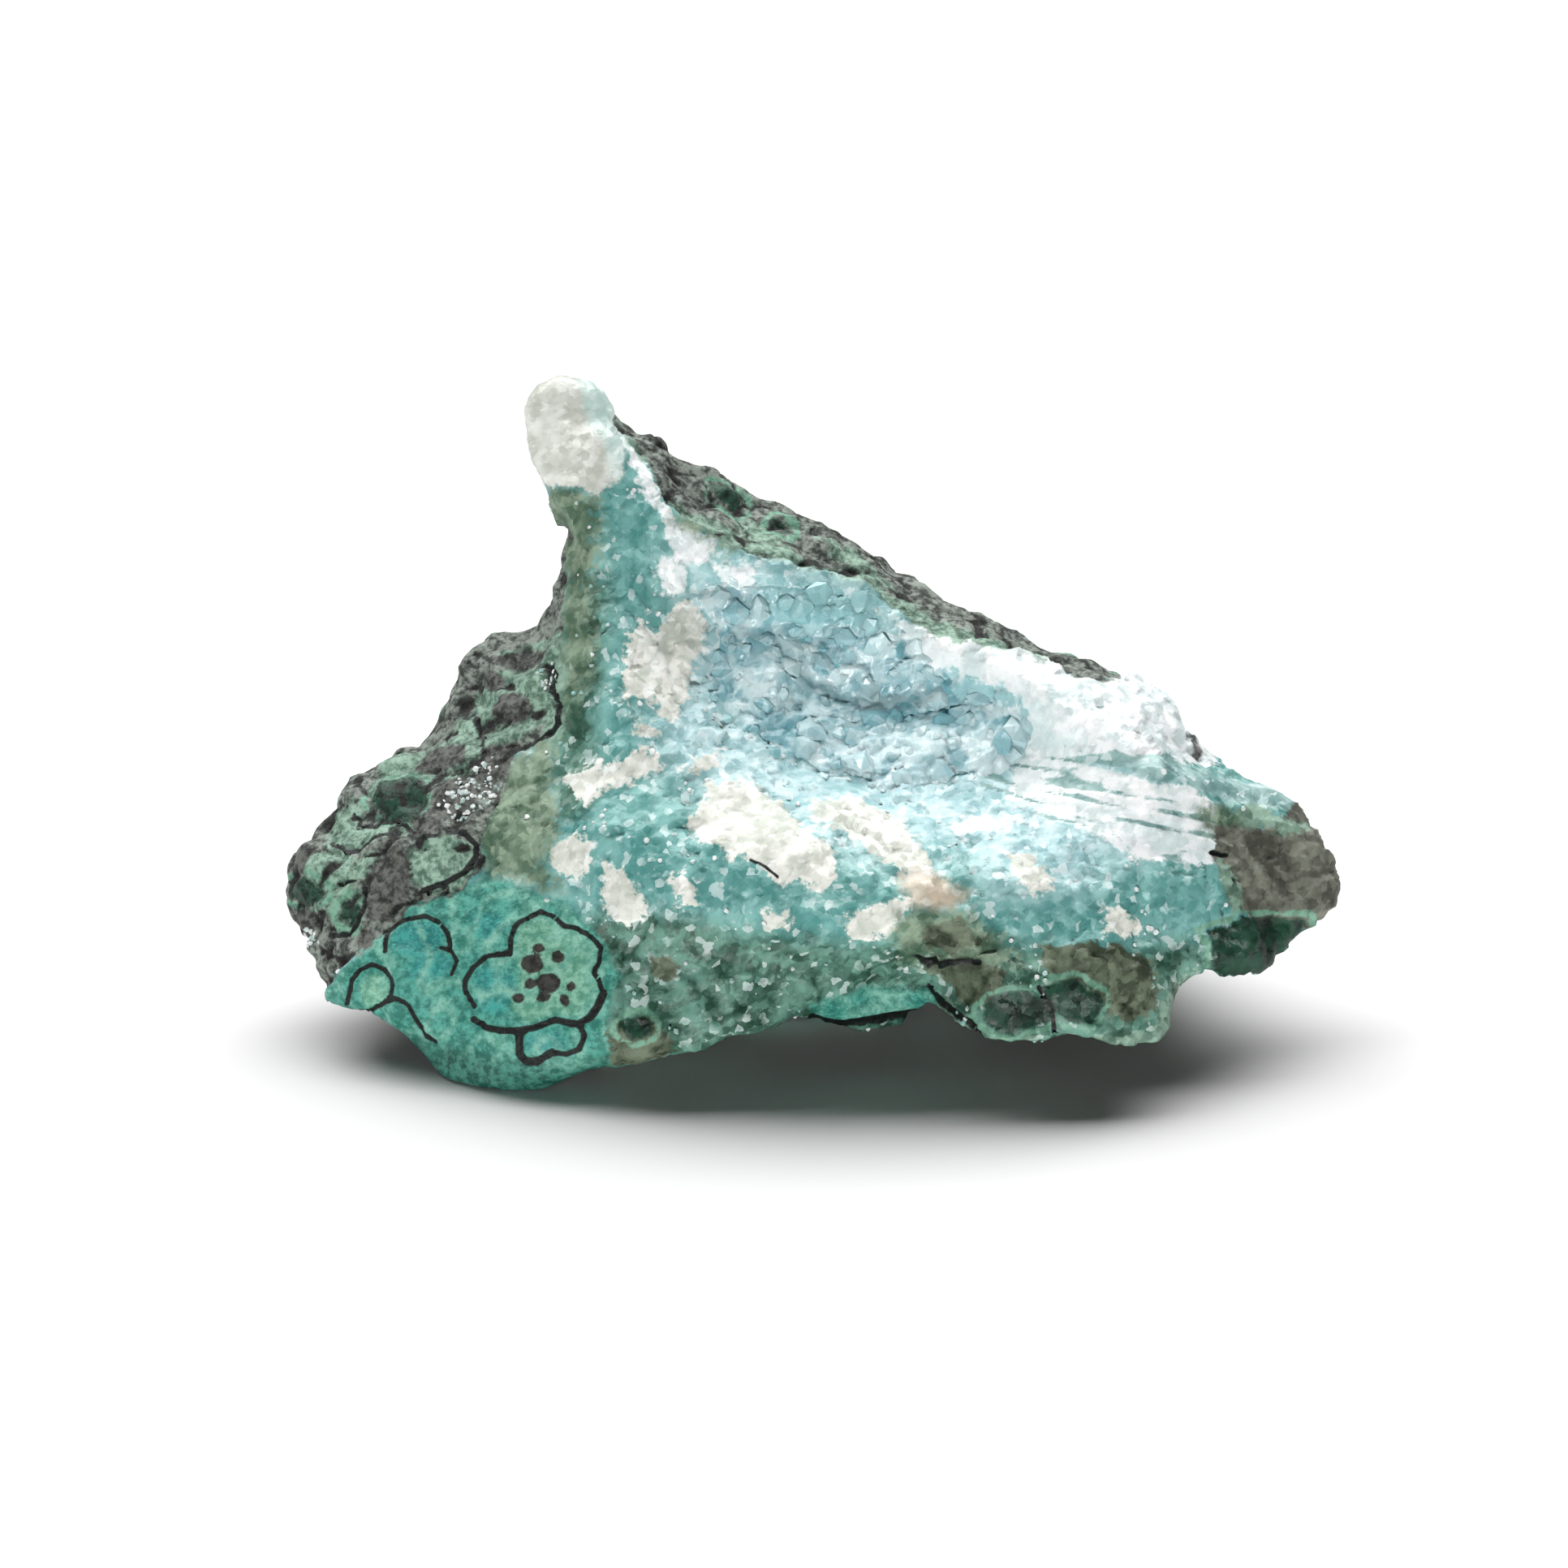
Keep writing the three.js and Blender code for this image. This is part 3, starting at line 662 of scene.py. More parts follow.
# %% [markdown]
# ## One crystal
# A quartz crystal is a six-sided prism with a six-sided point. It is modelled once: a cylinder of
# six sides, its lid drawn up and merged into a point, its bottom left open because it is rooted in
# the stone. Hundreds of copies are then set out, each with its own size, lean and crooked tip.

# %% Model the crystal
def face_up(polygon, sign):
    """Whether a face looks straight up, or straight down for a sign of -1."""
    return polygon.normal.z * sign > 0.9


def select_faces(obj, wanted):
    bpy.ops.object.mode_set(mode="EDIT")
    bpy.ops.mesh.select_mode(type="FACE")
    bpy.ops.mesh.select_all(action="DESELECT")
    bpy.ops.object.mode_set(mode="OBJECT")
    for polygon in obj.data.polygons:
        polygon.select = wanted(polygon)
    bpy.ops.object.mode_set(mode="EDIT")


bpy.ops.object.select_all(action="DESELECT")
bpy.ops.mesh.primitive_cylinder_add(vertices=6, radius=1, depth=1, location=(0, 0, 0))
crystal = bpy.context.object
select_faces(crystal, lambda polygon: face_up(polygon, 1))
bpy.ops.mesh.extrude_region_move(TRANSFORM_OT_translate={"value": (0, 0, 0.5)})
bpy.ops.mesh.merge(type="CENTER")
select_faces(crystal, lambda polygon: face_up(polygon, -1))
bpy.ops.mesh.delete(type="FACE")
bpy.ops.object.mode_set(mode="OBJECT")
CRYSTAL_POINTS = read_points(crystal.data)
CRYSTAL_FACES = [list(polygon.vertices) for polygon in crystal.data.polygons]
bpy.ops.object.delete()
print("crystal:", len(CRYSTAL_POINTS), "points,", len(CRYSTAL_FACES), "faces")

# %% Copy the crystal to many places
TONE_SPREAD = 0.1  # how much one crystal's tone differs from its neighbours'
TIP_HIGHLIGHT = 0.08  # how much paler its tip is painted, as a highlight
TIP_SHIFT = 0.45  # how far off its middle the tip may be, in radii
CORNER_REACH = (0.7, 1.2)  # how far out its corners are, in radii


def unit(vectors):
    return vectors / np.linalg.norm(vectors, axis=1, keepdims=True)


def one_per_cell(points, cell, rng):
    """Indexes of points with no more than one in each cell of a grid, in random order."""
    order = rng.permutation(len(points))
    _, first = np.unique(np.floor(points[order] / cell).astype(int), axis=0, return_index=True)
    return order[np.sort(first)]


def crystal_mesh(name, places, normals, radii, heights, lean, rng, tones, teal):
    count = len(places)
    axis = unit(normals + lean * rng.normal(size=(count, 3)))
    side = unit(np.cross(axis, rng.normal(size=(count, 3))))
    other = np.cross(axis, side)
    shape = np.repeat(CRYSTAL_POINTS[None], count, axis=0)
    is_tip = CRYSTAL_POINTS[:, 2] == CRYSTAL_POINTS[:, 2].max()
    shape[:, :, :2] *= rng.uniform(*CORNER_REACH, size=(count, len(CRYSTAL_POINTS), 1))
    shape[:, is_tip, :2] += rng.uniform(-TIP_SHIFT, TIP_SHIFT, size=(count, 1, 2))
    flat = shape[:, :, :1] * side[:, None] + shape[:, :, 1:2] * other[:, None]
    tall = shape[:, :, 2:] * axis[:, None]
    corners = places[:, None] + radii[:, None, None] * flat + heights[:, None, None] * tall
    offsets = len(CRYSTAL_POINTS) * np.arange(count)
    faces = [
        [corner + offset for corner in face] for offset in offsets.tolist() for face in CRYSTAL_FACES
    ]
    mesh = bpy.data.meshes.new(name)
    mesh.from_pydata(corners.reshape(-1, 3), [], faces)
    own_tones = tones + TONE_SPREAD * rng.uniform(-1, 1, size=count)
    corner_tones = own_tones[:, None] + np.where(is_tip, TIP_HIGHLIGHT, 0)
    save_attribute(mesh, "tone", corner_tones.ravel())
    save_attribute(mesh, "teal", np.repeat(teal, len(CRYSTAL_POINTS)))
    piece = bpy.data.objects.new(name, mesh)
    bpy.context.collection.objects.link(piece)
    return piece


def join(piece, others):
    select_only(piece)
    for other in others:
        other.select_set(True)
    bpy.ops.object.join()


# %% [markdown]
# ## The druse
# The CAD crust holds the hollow's larger crystals in one piece. Its copy is rounded off, becomes the
# bed, and is cut along the hollow's outline. It is moved along the line of sight, not along its
# normals, so that nothing folds: at its rim it dips under the lump's surface, and further in it stands
# out of it. Its own surface is broken into planes, as the face was, and low crystals in two sizes
# stand on it here and there, joined to it as one crust. Each gets a tone, paler towards the white
# ridge and darker in the pockets, where the darkness is painted shade, and a share of teal where the
# hollow's roof is stained.

# %% Tones of the hollow
POCKETS = [
    [(1000, 836), (1050, 850), (1110, 836), (1165, 828), (1190, 850), (1160, 892), (1100, 896),
     (1060, 882), (1020, 870)],
    oval(968, 906, 16, 12),
    oval(1150, 780, 26, 12, 20),
]
MILKY = [
    [(985, 915), (1060, 905), (1150, 915), (1230, 890), (1330, 930), (1260, 1010), (1100, 1000),
     (1010, 975)],
    oval(948, 845, 48, 45),
    [(840, 700), (925, 692), (930, 745), (850, 760)],
]
STAINED = [
    [(940, 690), (1050, 700), (1110, 745), (1090, 775), (1000, 772), (940, 750)],
    [(850, 850), (900, 880), (950, 930), (920, 960), (860, 920), (830, 880)],
]
BOSS = [oval(948, 845, 50, 46)]  # a rounded cluster that stands out
PART_FADES = [(POCKETS, -0.7, 0.5), (MILKY, -1.0, 0.8), (STAINED, -0.9, 0.6), (BOSS, -0.1, 1.5)]  # mm
MIDDLE_TONE = 0.53
POCKET_SHADE = 0.18  # how much darker the pockets are painted, as shade
MILKY_PALE = 0.2  # how much paler the milky crystals are
POCKET_DEPTH = 0.35  # mm
BOSS_HEIGHT = 0.7  # mm


def hollow_tones(points):
    """A tone, with painted shade in the pockets and paler on milky crystals, the share of teal, and the
    depth in mm.
    """
    px = warped(photo_px(points), points)
    dark, milky, teal, boss = [
        smoothstep(inside_mm(outlines, px), low, high) for outlines, low, high in PART_FADES
    ]
    # the pockets are painted darker, as shade
    tone = MIDDLE_TONE - POCKET_SHADE * dark + MILKY_PALE * milky
    return tone, teal, POCKET_DEPTH * dark - BOSS_HEIGHT * boss


print("outlines in the hollow:", sum(len(outlines) for outlines, *_ in PART_FADES))

# %% Set the bed into the hollow
HOLLOW = [(835, 705), (930, 690), (1050, 712), (1130, 765), (1200, 835), (1290, 880), (1280, 945),
          (1210, 985), (1090, 995), (970, 970), (905, 925), (850, 870), (868, 790)]
BED_RIM = (0.0, 2.6)  # the bed comes up between these distances inside the hollow's outline, in mm
RIM_DIP = 0.3  # how far its rim lies under the lump's surface, in mm
BED_SHARE = 0.6  # how much of the CAD crust's height the bed keeps
BED_MARGIN = 0.3  # how far outside the hollow's outline the bed is cut off, in mm
BED_PLANES = [(1.7 * MM, 0.5), (0.85 * MM, 0.35)]  # sizes of its planes, and how far their tones differ
BED_TILT = 0.5  # how steep the planes are
FAR_OUT = 20 * MM  # in front of the whole stone


def standing_out(points, obj):
    """How far the points stand out of an object's front along the line of sight, in mm."""
    front = BVHTree.FromObject(obj, bpy.context.evaluated_depsgraph_get())
    inwards = Vector(-TO_EYE)
    depths = [front.ray_cast(Vector(point), inwards)[3] for point in points + FAR_OUT * TO_EYE]
    return (np.array([FAR_OUT if depth is None else depth for depth in depths]) - FAR_OUT) / MM


druse = remeshed_copy("druse_crust", "druse_bed", voxel=0.2 * MM, smoothing=30)
centres = np.array([polygon.center for polygon in druse.data.polygons])
is_outside = (inside_mm([HOLLOW], photo_px(centres)) < -BED_MARGIN).tolist()
select_faces(druse, lambda polygon: is_outside[polygon.index])
bpy.ops.mesh.delete(type="FACE")
bpy.ops.object.mode_set(mode="OBJECT")
bed_points = read_points(druse.data)
bed_tones, bed_teal, bed_depth = hollow_tones(bed_points)
inner = inside_mm([HOLLOW], photo_px(bed_points))
found = standing_out(bed_points, stone)
wanted = BED_SHARE * found
for size, spread in BED_PLANES:
    heights, tones = facets(bed_points, size)
    wanted += BED_TILT * heights
    bed_tones += spread * (tones - 0.5)
risen = smoothstep(inner, *BED_RIM)
wanted = risen * (wanted - bed_depth) - RIM_DIP * (1 - risen)
bed_points += np.outer(wanted - found, TO_EYE * MM)
druse.data.vertices.foreach_set("co", bed_points.ravel())
druse.data.update()
save_attribute(druse.data, "tone", bed_tones)
save_attribute(druse.data, "teal", bed_teal)
print("bed faces:", len(druse.data.polygons))

# %% Stand crystals on the bed
CRYSTAL_SEED = 11
CRYSTAL_SETS = [  # spacing, radius and height of each size of crystal, in mm
    (2.6, (0.45, 0.95), (0.5, 0.9)),
    (1.7, (0.25, 0.45), (0.25, 0.45)),
]
SUNK = 0.5  # how much of its height a crystal is sunk, so that only its point stands out
LEAN = 0.3  # how far crystals lean over, at random
CRYSTAL_MARGIN = 0.7  # they keep this far inside the hollow's outline, in mm
CRYSTAL_FACING = 0.05  # and off slopes that turn further away than this

rng = np.random.default_rng(CRYSTAL_SEED)
bed_normals = read_normals(druse.data)
outward = np.flatnonzero((bed_normals @ TO_EYE > CRYSTAL_FACING) & (inner > CRYSTAL_MARGIN))
crystal_sets = []
for spacing, radius, height in CRYSTAL_SETS:
    chosen = outward[one_per_cell(bed_points[outward], spacing * MM, rng)]
    radii = rng.uniform(*radius, size=len(chosen)) * MM
    heights = rng.uniform(*height, size=len(chosen)) * MM
    roots = bed_points[chosen] - SUNK * heights[:, None] * bed_normals[chosen]
    crystal_sets.append(crystal_mesh(
        "druse_points", roots, bed_normals[chosen], radii, heights, LEAN, rng,
        bed_tones[chosen], bed_teal[chosen]))
join(druse, crystal_sets)
druse.name = "druse_crystals"
print("druse faces:", len(druse.data.polygons))

# %% [markdown]
# ## The sugar
# Round the hollow, the broken face is dusted with quartz like sugar: grains of under half a
# millimetre that catch the light. They are the same crystal again, small and short, in clusters.
# They keep off the rind, the turquoise lobe and the cap, but for a few glittering nests on the rind,
# where the grains lie closer and flatter.

# %% Scatter the sugar grains
NESTS = [oval(572, 975, 34, 20, -25), oval(598, 948, 12, 16), oval(668, 829, 9, 12), oval(376, 1160, 12, 8)]
BARE_ZONES = ("rind", "turquoise", "cap", "malachite", "tip", "cream", "frost", "rosette")
OLIVE_BARE = 0.6  # the share of grains that the olive stone goes without
CLUSTER = 1.8 * MM
CLUSTER_FADE = (0.12, 0.5)  # noise at the edge and in the middle of a cluster
DUST_CHANCE = 0.07  # of a grain at a point in the middle of a cluster
LOOSE = 0.04  # the share of that chance which holds everywhere
NEST_CHANCE = 0.5
NEST_FADE = (-0.5, 0.4)  # mm
WHITENESS = (0.3, 0.9)
DEEP_SHADE = 0.3  # how much darker the grains are on the green lower band, partly as painted shade
SUGAR_LEAN = 0.5

points = read_points(stone.data)
normals = read_normals(stone.data)
bare = sum(map(zone_weight, BARE_ZONES)) + OLIVE_BARE * zone_weight("olive")
clustered = smoothstep(smooth_noise(points, CLUSTER), *CLUSTER_FADE)
dusted = DUST_CHANCE * fields["shown"] * np.clip(1 - bare, 0, 1) * (LOOSE + clustered)
nested = NEST_CHANCE * fields["shown"] * smoothstep(inside_mm(NESTS, px), *NEST_FADE)
SUGAR_SETS = [  # chance of a grain, spacing, radius, and height in radii
    (dusted, 0.42, (0.08, 0.17), 0.8),
    (nested, 0.26, (0.05, 0.19), 0.6),
]
sugar_sets = []
for chance, spacing, radius, flatness in SUGAR_SETS:
    sugary = np.flatnonzero(rng.uniform(size=len(points)) < chance)
    chosen = sugary[one_per_cell(points[sugary], spacing * MM, rng)]
    radii = rng.uniform(*radius, size=len(chosen)) * MM
    tones = rng.uniform(*WHITENESS, size=len(chosen)) - DEEP_SHADE * zone_weight("deep_and_shade")[chosen]
    sugar_sets.append(crystal_mesh(
        "sugar_grains", points[chosen], normals[chosen], radii, flatness * radii, SUGAR_LEAN, rng,
        tones, np.zeros(len(chosen))))
sugar = sugar_sets[0]
join(sugar, sugar_sets[1:])
print("sugar grains:", len(sugar.data.polygons) // len(CRYSTAL_FACES))

# %% [markdown]
# ## Node groups
# Three effects are used again and again. Ragged Edge turns a distance into a mask whose edge is broken
# up by noise. Mottle mixes two tones of one mineral in clouds and fine grain. Crystal Facets splits the
# surface into cells, each a little plane with its own tilt and tone, in the stone and in its quartz.

# %% Node helpers
COLOUR_MIX = {"factor": 0, "a": 6, "b": 7, "result": 2}  # a colour Mix node's sockets


def set_inputs(tree, node, inputs):
    """Links the inputs that are other nodes' sockets, and sets the rest as plain values."""
    for key, value in inputs.items():
        if isinstance(value, bpy.types.NodeSocket):
            tree.links.new(value, node.inputs[key])
        else:
            node.inputs[key].default_value = value


def add_node(tree, kind, inputs=None, **settings):
    node = tree.nodes.new(kind)
    for key, value in settings.items():
        setattr(node, key, value)
    set_inputs(tree, node, inputs or {})
    return node


def mix_colour(tree, factor, a, b):
    inputs = {COLOUR_MIX["factor"]: factor, COLOUR_MIX["a"]: a, COLOUR_MIX["b"]: b}
    return add_node(tree, "ShaderNodeMix", inputs, data_type="RGBA").outputs[COLOUR_MIX["result"]]


def math_node(tree, operation, a, b):
    return add_node(tree, "ShaderNodeMath", {0: a, 1: b}, operation=operation).outputs[0]


def vector_math(tree, operation, a, b, output="Vector"):
    return add_node(tree, "ShaderNodeVectorMath", {0: a, 1: b}, operation=operation).outputs[output]


def scaled(tree, vector, scale):
    inputs = {0: vector, "Scale": scale}
    return add_node(tree, "ShaderNodeVectorMath", inputs, operation="SCALE").outputs["Vector"]


def smooth_range(tree, value, low, high):
    inputs = {"Value": value, "From Min": low, "From Max": high}
    return add_node(tree, "ShaderNodeMapRange", inputs, interpolation_type="SMOOTHSTEP").outputs[0]


def millimetres(tree):
    """Object coordinates in millimetres."""
    return scaled(tree, add_node(tree, "ShaderNodeTexCoord").outputs["Object"], 1 / MM)


def noise_node(tree, fineness, detail, roughness=0.6):
    inputs = {"Vector": millimetres(tree), "Scale": fineness, "Detail": detail, "Roughness": roughness}
    return add_node(tree, "ShaderNodeTexNoise", inputs).outputs["Fac"]


def attribute(tree, name):
    return add_node(tree, "ShaderNodeAttribute", attribute_name=name).outputs["Fac"]


# %% Material and group helpers
def bumps(tree, height):
    """Normals of a surface with that relief."""
    inputs = {"Height": height, "Strength": 0.5, "Distance": 0.3 * MM}
    return add_node(tree, "ShaderNodeBump", inputs).outputs["Normal"]


def new_material(name):
    material = bpy.data.materials.new(name)
    material.use_nodes = True
    return material, material.node_tree, material.node_tree.nodes["Principled BSDF"]


def new_group(name, inputs, outputs):
    """A group with sockets given as names and kinds, the values it is given, and its end node."""
    group = bpy.data.node_groups.new(name, "ShaderNodeTree")
    for side, sockets in (("INPUT", inputs), ("OUTPUT", outputs)):
        for socket, kind in sockets.items():
            group.interface.new_socket(socket, in_out=side, socket_type="NodeSocket" + kind)
    return group, group.nodes.new("NodeGroupInput").outputs, group.nodes.new("NodeGroupOutput")


def group_node(tree, group, **inputs):
    return add_node(tree, "ShaderNodeGroup", inputs, node_tree=group).outputs


def linear(code):
    """A colour code such as "5aa5a3" as a linear colour with alpha."""
    parts = [int(code[i : i + 2], 16) / 255 for i in (0, 2, 4)]
    return (*(((c + 0.055) / 1.055) ** 2.4 if c > 0.04045 else c / 12.92 for c in parts), 1)


# %% Ragged Edge, Mottle and Crystal Facets
MOTTLE_FADE = (0.6, 1.4)  # cloud and grain together, from the dark tone to the light one

ragged_edge, given, made = new_group(
    "Ragged Edge",
    {"Inside": "Float", "Wobble": "Float", "Soft": "Float", "Ragged": "Float"},
    {"Mask": "Float"},
)
swing = math_node(ragged_edge, "SUBTRACT", given["Wobble"], 0.5)
moved = math_node(ragged_edge, "MULTIPLY", swing, given["Ragged"])
reached = math_node(ragged_edge, "ADD", given["Inside"], moved)
below = math_node(ragged_edge, "MULTIPLY", given["Soft"], -1)
set_inputs(ragged_edge, made, {"Mask": smooth_range(ragged_edge, reached, below, given["Soft"])})

mottle, given, made = new_group(
    "Mottle",
    {"Light": "Color", "Dark": "Color", "Cloud": "Float", "Grain": "Float"},
    {"Color": "Color"},
)
both = math_node(mottle, "ADD", given["Cloud"], given["Grain"])
lightness = smooth_range(mottle, both, *MOTTLE_FADE)
set_inputs(mottle, made, {"Color": mix_colour(mottle, lightness, given["Dark"], given["Light"])})

crystal_facets, given, made = new_group(
    "Crystal Facets",
    {"Fineness": "Float", "Wobble": "Float"},
    {"Height": "Float", "Tone": "Float"},
)
even = scaled(crystal_facets, millimetres(crystal_facets), given["Fineness"])
cells = vector_math(crystal_facets, "ADD", even, given["Wobble"])
crackle = add_node(crystal_facets, "ShaderNodeTexVoronoi", {"Vector": cells, "Scale": 1}).outputs
offset = vector_math(crystal_facets, "SUBTRACT", cells, crackle["Position"])
tilt = vector_math(crystal_facets, "SUBTRACT", crackle["Color"], LEVEL)
rise = vector_math(crystal_facets, "DOT_PRODUCT", offset, tilt, "Value")
split = add_node(crystal_facets, "ShaderNodeSeparateColor", {0: crackle["Color"]})
set_inputs(crystal_facets, made, {"Height": rise, "Tone": split.outputs[0]})
print("groups:", [group.name for group in bpy.data.node_groups])

# %% [markdown]
# ## The stone's material
# The zones are painted one over another, like glazes: the teal of the break first, the black rings
# last. Each takes its mask from its own distance attribute, and its roughness with it, so the
# turquoise is waxy and the rind is dull. Sugar too fine to model, and glints on it, are painted as
# white specks, in clusters.

# %% Tones and edges of the zones
TEAL = ("84bab5", "51908b")
PAINT = {  # light tone, dark tone, roughness, edge softness and raggedness in mm
    # painted shade: the greener lower band is also painted darker where it faces down
    "deep_and_shade": ("6f9e8e", "284d3d", 0.45, 0.8, 1.6),
    "pale": ("cde6e8", "96c1c5", 0.30, 2.0, 1.4),
    "frost": ("feffff", "d4e3e3", 0.35, 0.15, 1.4),
    "streak": ("a9c9c6", "739c99", 0.35, 0.08, 0.4),
    "cream": ("f8f8f1", "c6cbc0", 0.65, 0.12, 1.7),
    "peach": ("e3dacb", "cabda8", 0.60, 0.5, 0.9),
    "olive": ("92a78f", "43604b", 0.60, 0.6, 2.2),
    "turquoise": ("55a898", "2a7567", 0.38, 0.3, 0.9),
    "blue": ("45a59c", "257874", 0.32, 0.3, 0.6),
    "mint": ("8ac1a7", "55957e", 0.35, 0.2, 0.6),
    "vein": ("8cc5b2", "60a491", 0.35, 0.10, 0.3),
    # painted shade: the foot of the lobe is darker because it faces down
    "foot_shade": ("478777", "1b5046", 0.40, 0.8, 1.0),
    "rind": ("919a91", "343935", 0.75, 0.12, 1.1),
    "shell": ("62655e", "2b2e2b", 0.75, 0.7, 1.5),
    "skin": ("83a08f", "3b5c4d", 0.60, 0.45, 1.6),
    "tip": ("7f8274", "45473e", 0.60, 0.12, 1.0),
    "rosette": ("727e68", "2b3625", 0.60, 0.15, 1.2),
    "sage": ("98b7a4", "4d6b5b", 0.55, 0.15, 1.0),
    "malachite": ("244d3b", "0a2017", 0.45, 0.15, 0.7),
    "rim": ("83b29a", "568670", 0.50, 0.08, 0.4),
    "umber": ("6c6f69", "2a2c2a", 0.60, 0.12, 0.6),
    "spots": ("3e3d38", "161614", 0.60, 0.06, 0.25),
    # painted shade in the seams between the rind's lumps
    "pit_and_shade": ("343633", "121312", 0.80, 0.08, 0.4),
    "cap": ("eaece6", "c6c9be", 0.35, 0.12, 0.9),
    "bloom": ("e2eeea", "bcd6cf", 0.35, 0.35, 0.8),
    "ink": ("131f1b", "050706", 0.50, 0.04, 0.12),
}
print(len(PAINT), "paints over", TEAL)

# %% Paint the zones
SUGAR_AND_GLINT_ZONE = "olive"  # the specks go under this zone and all later ones
# the specks' white: fine sugar grains, and painted glints
SPECK = linear("f0f7f7")
SPECK_FADE = (1.12, 1.2)  # flakes paler than this are specks
SPECK_SHARE = 0.4  # how much of the speck's white shows
FLAKE_SHARE = 0.35  # how much of the face's grain is flakes too fine to model
TEAL_ROUGHNESS = 0.35
QUARTZ_IOR = 1.54
stone_paint, tree, shader = new_material("gem_silica")


def mottled(tree, light, dark, cloud, grain):
    tones = group_node(tree, mottle, Light=linear(light), Dark=linear(dark), Cloud=cloud, Grain=grain)
    return tones["Color"]


def mix_value(factor, a, b):
    return add_node(tree, "ShaderNodeMix", {0: factor, 2: a, 3: b}, data_type="FLOAT").outputs[0]


def painted(zone, colour, roughness):
    """The colour and roughness so far, with this zone on top."""
    light, dark, rough, soft, ragged = PAINT[zone]
    inside = attribute(tree, zone)
    edge = group_node(tree, ragged_edge, Inside=inside, Wobble=wobble, Soft=soft, Ragged=ragged)
    colour = mix_colour(tree, edge["Mask"], colour, mottled(tree, light, dark, cloud, grain))
    return colour, mix_value(edge["Mask"], roughness, rough)


def sugar_and_glints(colour):
    """The colour so far, with white specks on the broken face: fine sugar, and painted glints."""
    white = math_node(tree, "ADD", flake["Tone"], math_node(tree, "MULTIPLY", cloud, 0.5))
    specks = math_node(tree, "MULTIPLY", smooth_range(tree, white, *SPECK_FADE), SPECK_SHARE)
    return mix_colour(tree, math_node(tree, "MULTIPLY", specks, on_face), colour, SPECK)


wobble = noise_node(tree, fineness=2.2, detail=4)
cloud = noise_node(tree, fineness=0.55, detail=3)
on_face = attribute(tree, "face")
flake = group_node(tree, crystal_facets, Fineness=2.4, Wobble=wobble)
planes = mix_value(0.5, attribute(tree, "tone"), attribute(tree, "chip"))
fine = smooth_range(tree, noise_node(tree, fineness=2.4, detail=4, roughness=0.65), 0.25, 0.75)
grain = mix_value(on_face, fine, mix_value(FLAKE_SHARE, planes, flake["Tone"]))
colour = mottled(tree, *TEAL, cloud, grain)
roughness = TEAL_ROUGHNESS
for zone in PAINT:
    if zone == SUGAR_AND_GLINT_ZONE:
        colour = sugar_and_glints(colour)
    colour, roughness = painted(zone, colour, roughness)

grainy = math_node(tree, "MULTIPLY", flake["Height"], on_face)
uneven = math_node(tree, "ADD", grainy, math_node(tree, "MULTIPLY", grain, 0.5))
set_inputs(tree, shader, {
    "Base Color": colour,
    "Roughness": roughness,
    "Normal": bumps(tree, uneven),
    "IOR": QUARTZ_IOR,
    "Specular IOR Level": 0.3,
})
stone.data.materials.append(stone_paint)
print("stone nodes:", len(tree.nodes))

# %% [markdown]
# ## Quartz
# Druse and sugar are clear quartz over coloured stone, so light goes some way into them. Part of
# the light is transmitted, by a plain value, and each crystal has a tone of its own between the
# blue-grey of the hollow and white.

# %% Quartz materials
STAIN = linear("9fd2d4")
STAIN_SHARE = 0.75  # how strong the stain is at most
FLAKE_TONES = 0.35  # how far the tones of a crystal's flakes differ


def quartz_material(name, dark, light):
    material, tree, shader = new_material(name)
    wobble = noise_node(tree, fineness=2.2, detail=4)
    flake = group_node(tree, crystal_facets, Fineness=2.0, Wobble=wobble)
    change = math_node(tree, "MULTIPLY", math_node(tree, "SUBTRACT", flake["Tone"], 0.5), FLAKE_TONES)
    tone = math_node(tree, "ADD", attribute(tree, "tone"), change)
    clear = mix_colour(tree, smooth_range(tree, tone, 0.0, 1.0), linear(dark), linear(light))
    stain = math_node(tree, "MULTIPLY", attribute(tree, "teal"), STAIN_SHARE)
    set_inputs(tree, shader, {
        "Base Color": mix_colour(tree, stain, clear, STAIN),
        "Roughness": 0.3,
        "Transmission Weight": 0.1,
        "Normal": bumps(tree, flake["Height"]),
        "Subsurface Weight": 0.25,
        "Subsurface Radius": (1.0, 1.0, 1.0),
        "Subsurface Scale": 0.5 * MM,
        "IOR": QUARTZ_IOR,
    })
    return material


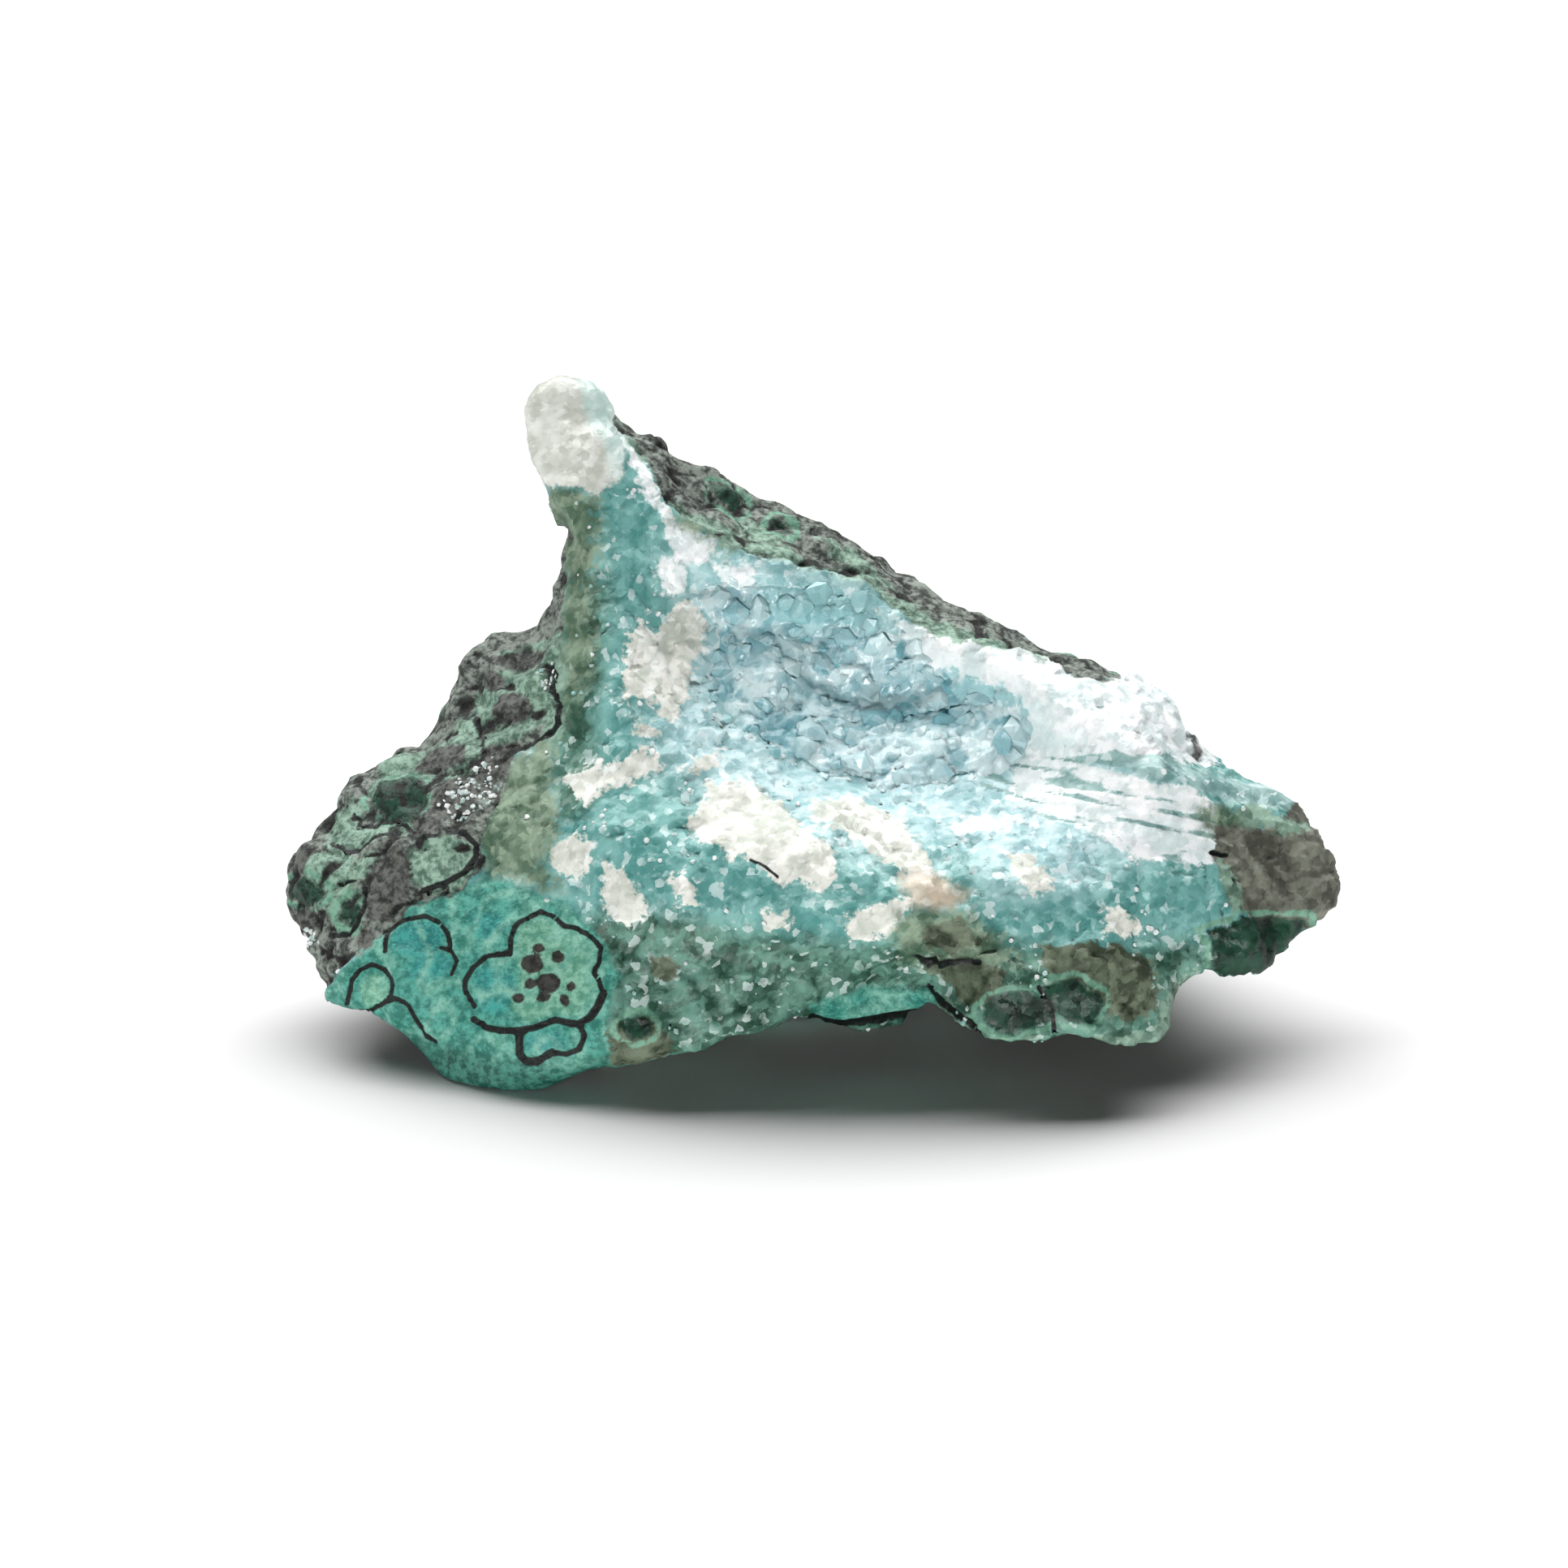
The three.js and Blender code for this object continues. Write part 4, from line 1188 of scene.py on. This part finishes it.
druse.data.materials.clear()
druse.data.materials.append(quartz_material("drusy_quartz", "79b3bd", "def4f6"))
sugar.data.materials.append(quartz_material("sugar_quartz", "8fbdb5", "fdfefe"))
print("quartz materials:", druse.active_material.name, sugar.active_material.name)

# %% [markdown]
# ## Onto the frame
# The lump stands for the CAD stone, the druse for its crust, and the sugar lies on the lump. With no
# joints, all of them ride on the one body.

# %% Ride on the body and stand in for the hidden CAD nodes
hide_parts("stone")
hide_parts("druse_crust")
for piece, slot in ((stone, "gem_silica"), (druse, "drusy_quartz"), (sugar, "drusy_quartz")):
    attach(piece, "root")
    piece.data.calc_loop_triangles()
    print(piece.name, len(piece.data.loop_triangles), "triangles")

# %% [markdown]
# ## Floor and light
# A white table under a soft light from above and behind, with a weak one low in front, as in a product
# photograph. The floor goes to white, and a dark soft shadow falls forward from under the overhang.
# The low one lights the face of the stone and hardly reaches the floor.

# %% Floor, lights and view
bpy.ops.mesh.primitive_plane_add(size=4, location=(0, 0, -0.02 * MM))
floor = bpy.context.object
floor.name = "floor"
table_paint, table_tree, table_shader = new_material("white_table")
set_inputs(table_tree, table_shader, {"Base Color": (0.78, 0.78, 0.78, 1), "Roughness": 0.9})
floor.data.materials.append(table_paint)

SOFTBOXES = {  # place, width, height and watts
    "key": (Vector((-0.04, 0.36, 0.62)), 1.2, 0.5, 12.4),
    "front_fill": (Vector((-0.10, -0.80, 0.03)), 0.05, 0.05, 4.2),
}
for name, (place, width, height, watts) in SOFTBOXES.items():
    bpy.ops.object.light_add(type="AREA", location=place)
    softbox = bpy.context.object
    softbox.name = name
    softbox.data.shape = "RECTANGLE"
    softbox.data.size = width
    softbox.data.size_y = height
    softbox.data.energy = watts
    softbox.rotation_euler = (-place).to_track_quat("-Z", "Y").to_euler()
world = bpy.data.worlds.new("white_room")
world.use_nodes = True
room = world.node_tree
set_inputs(room, room.nodes["Background"], {"Color": (1, 1, 1, 1), "Strength": 0.03})
bpy.context.scene.world = world
bpy.context.scene.view_settings.view_transform = "Standard"
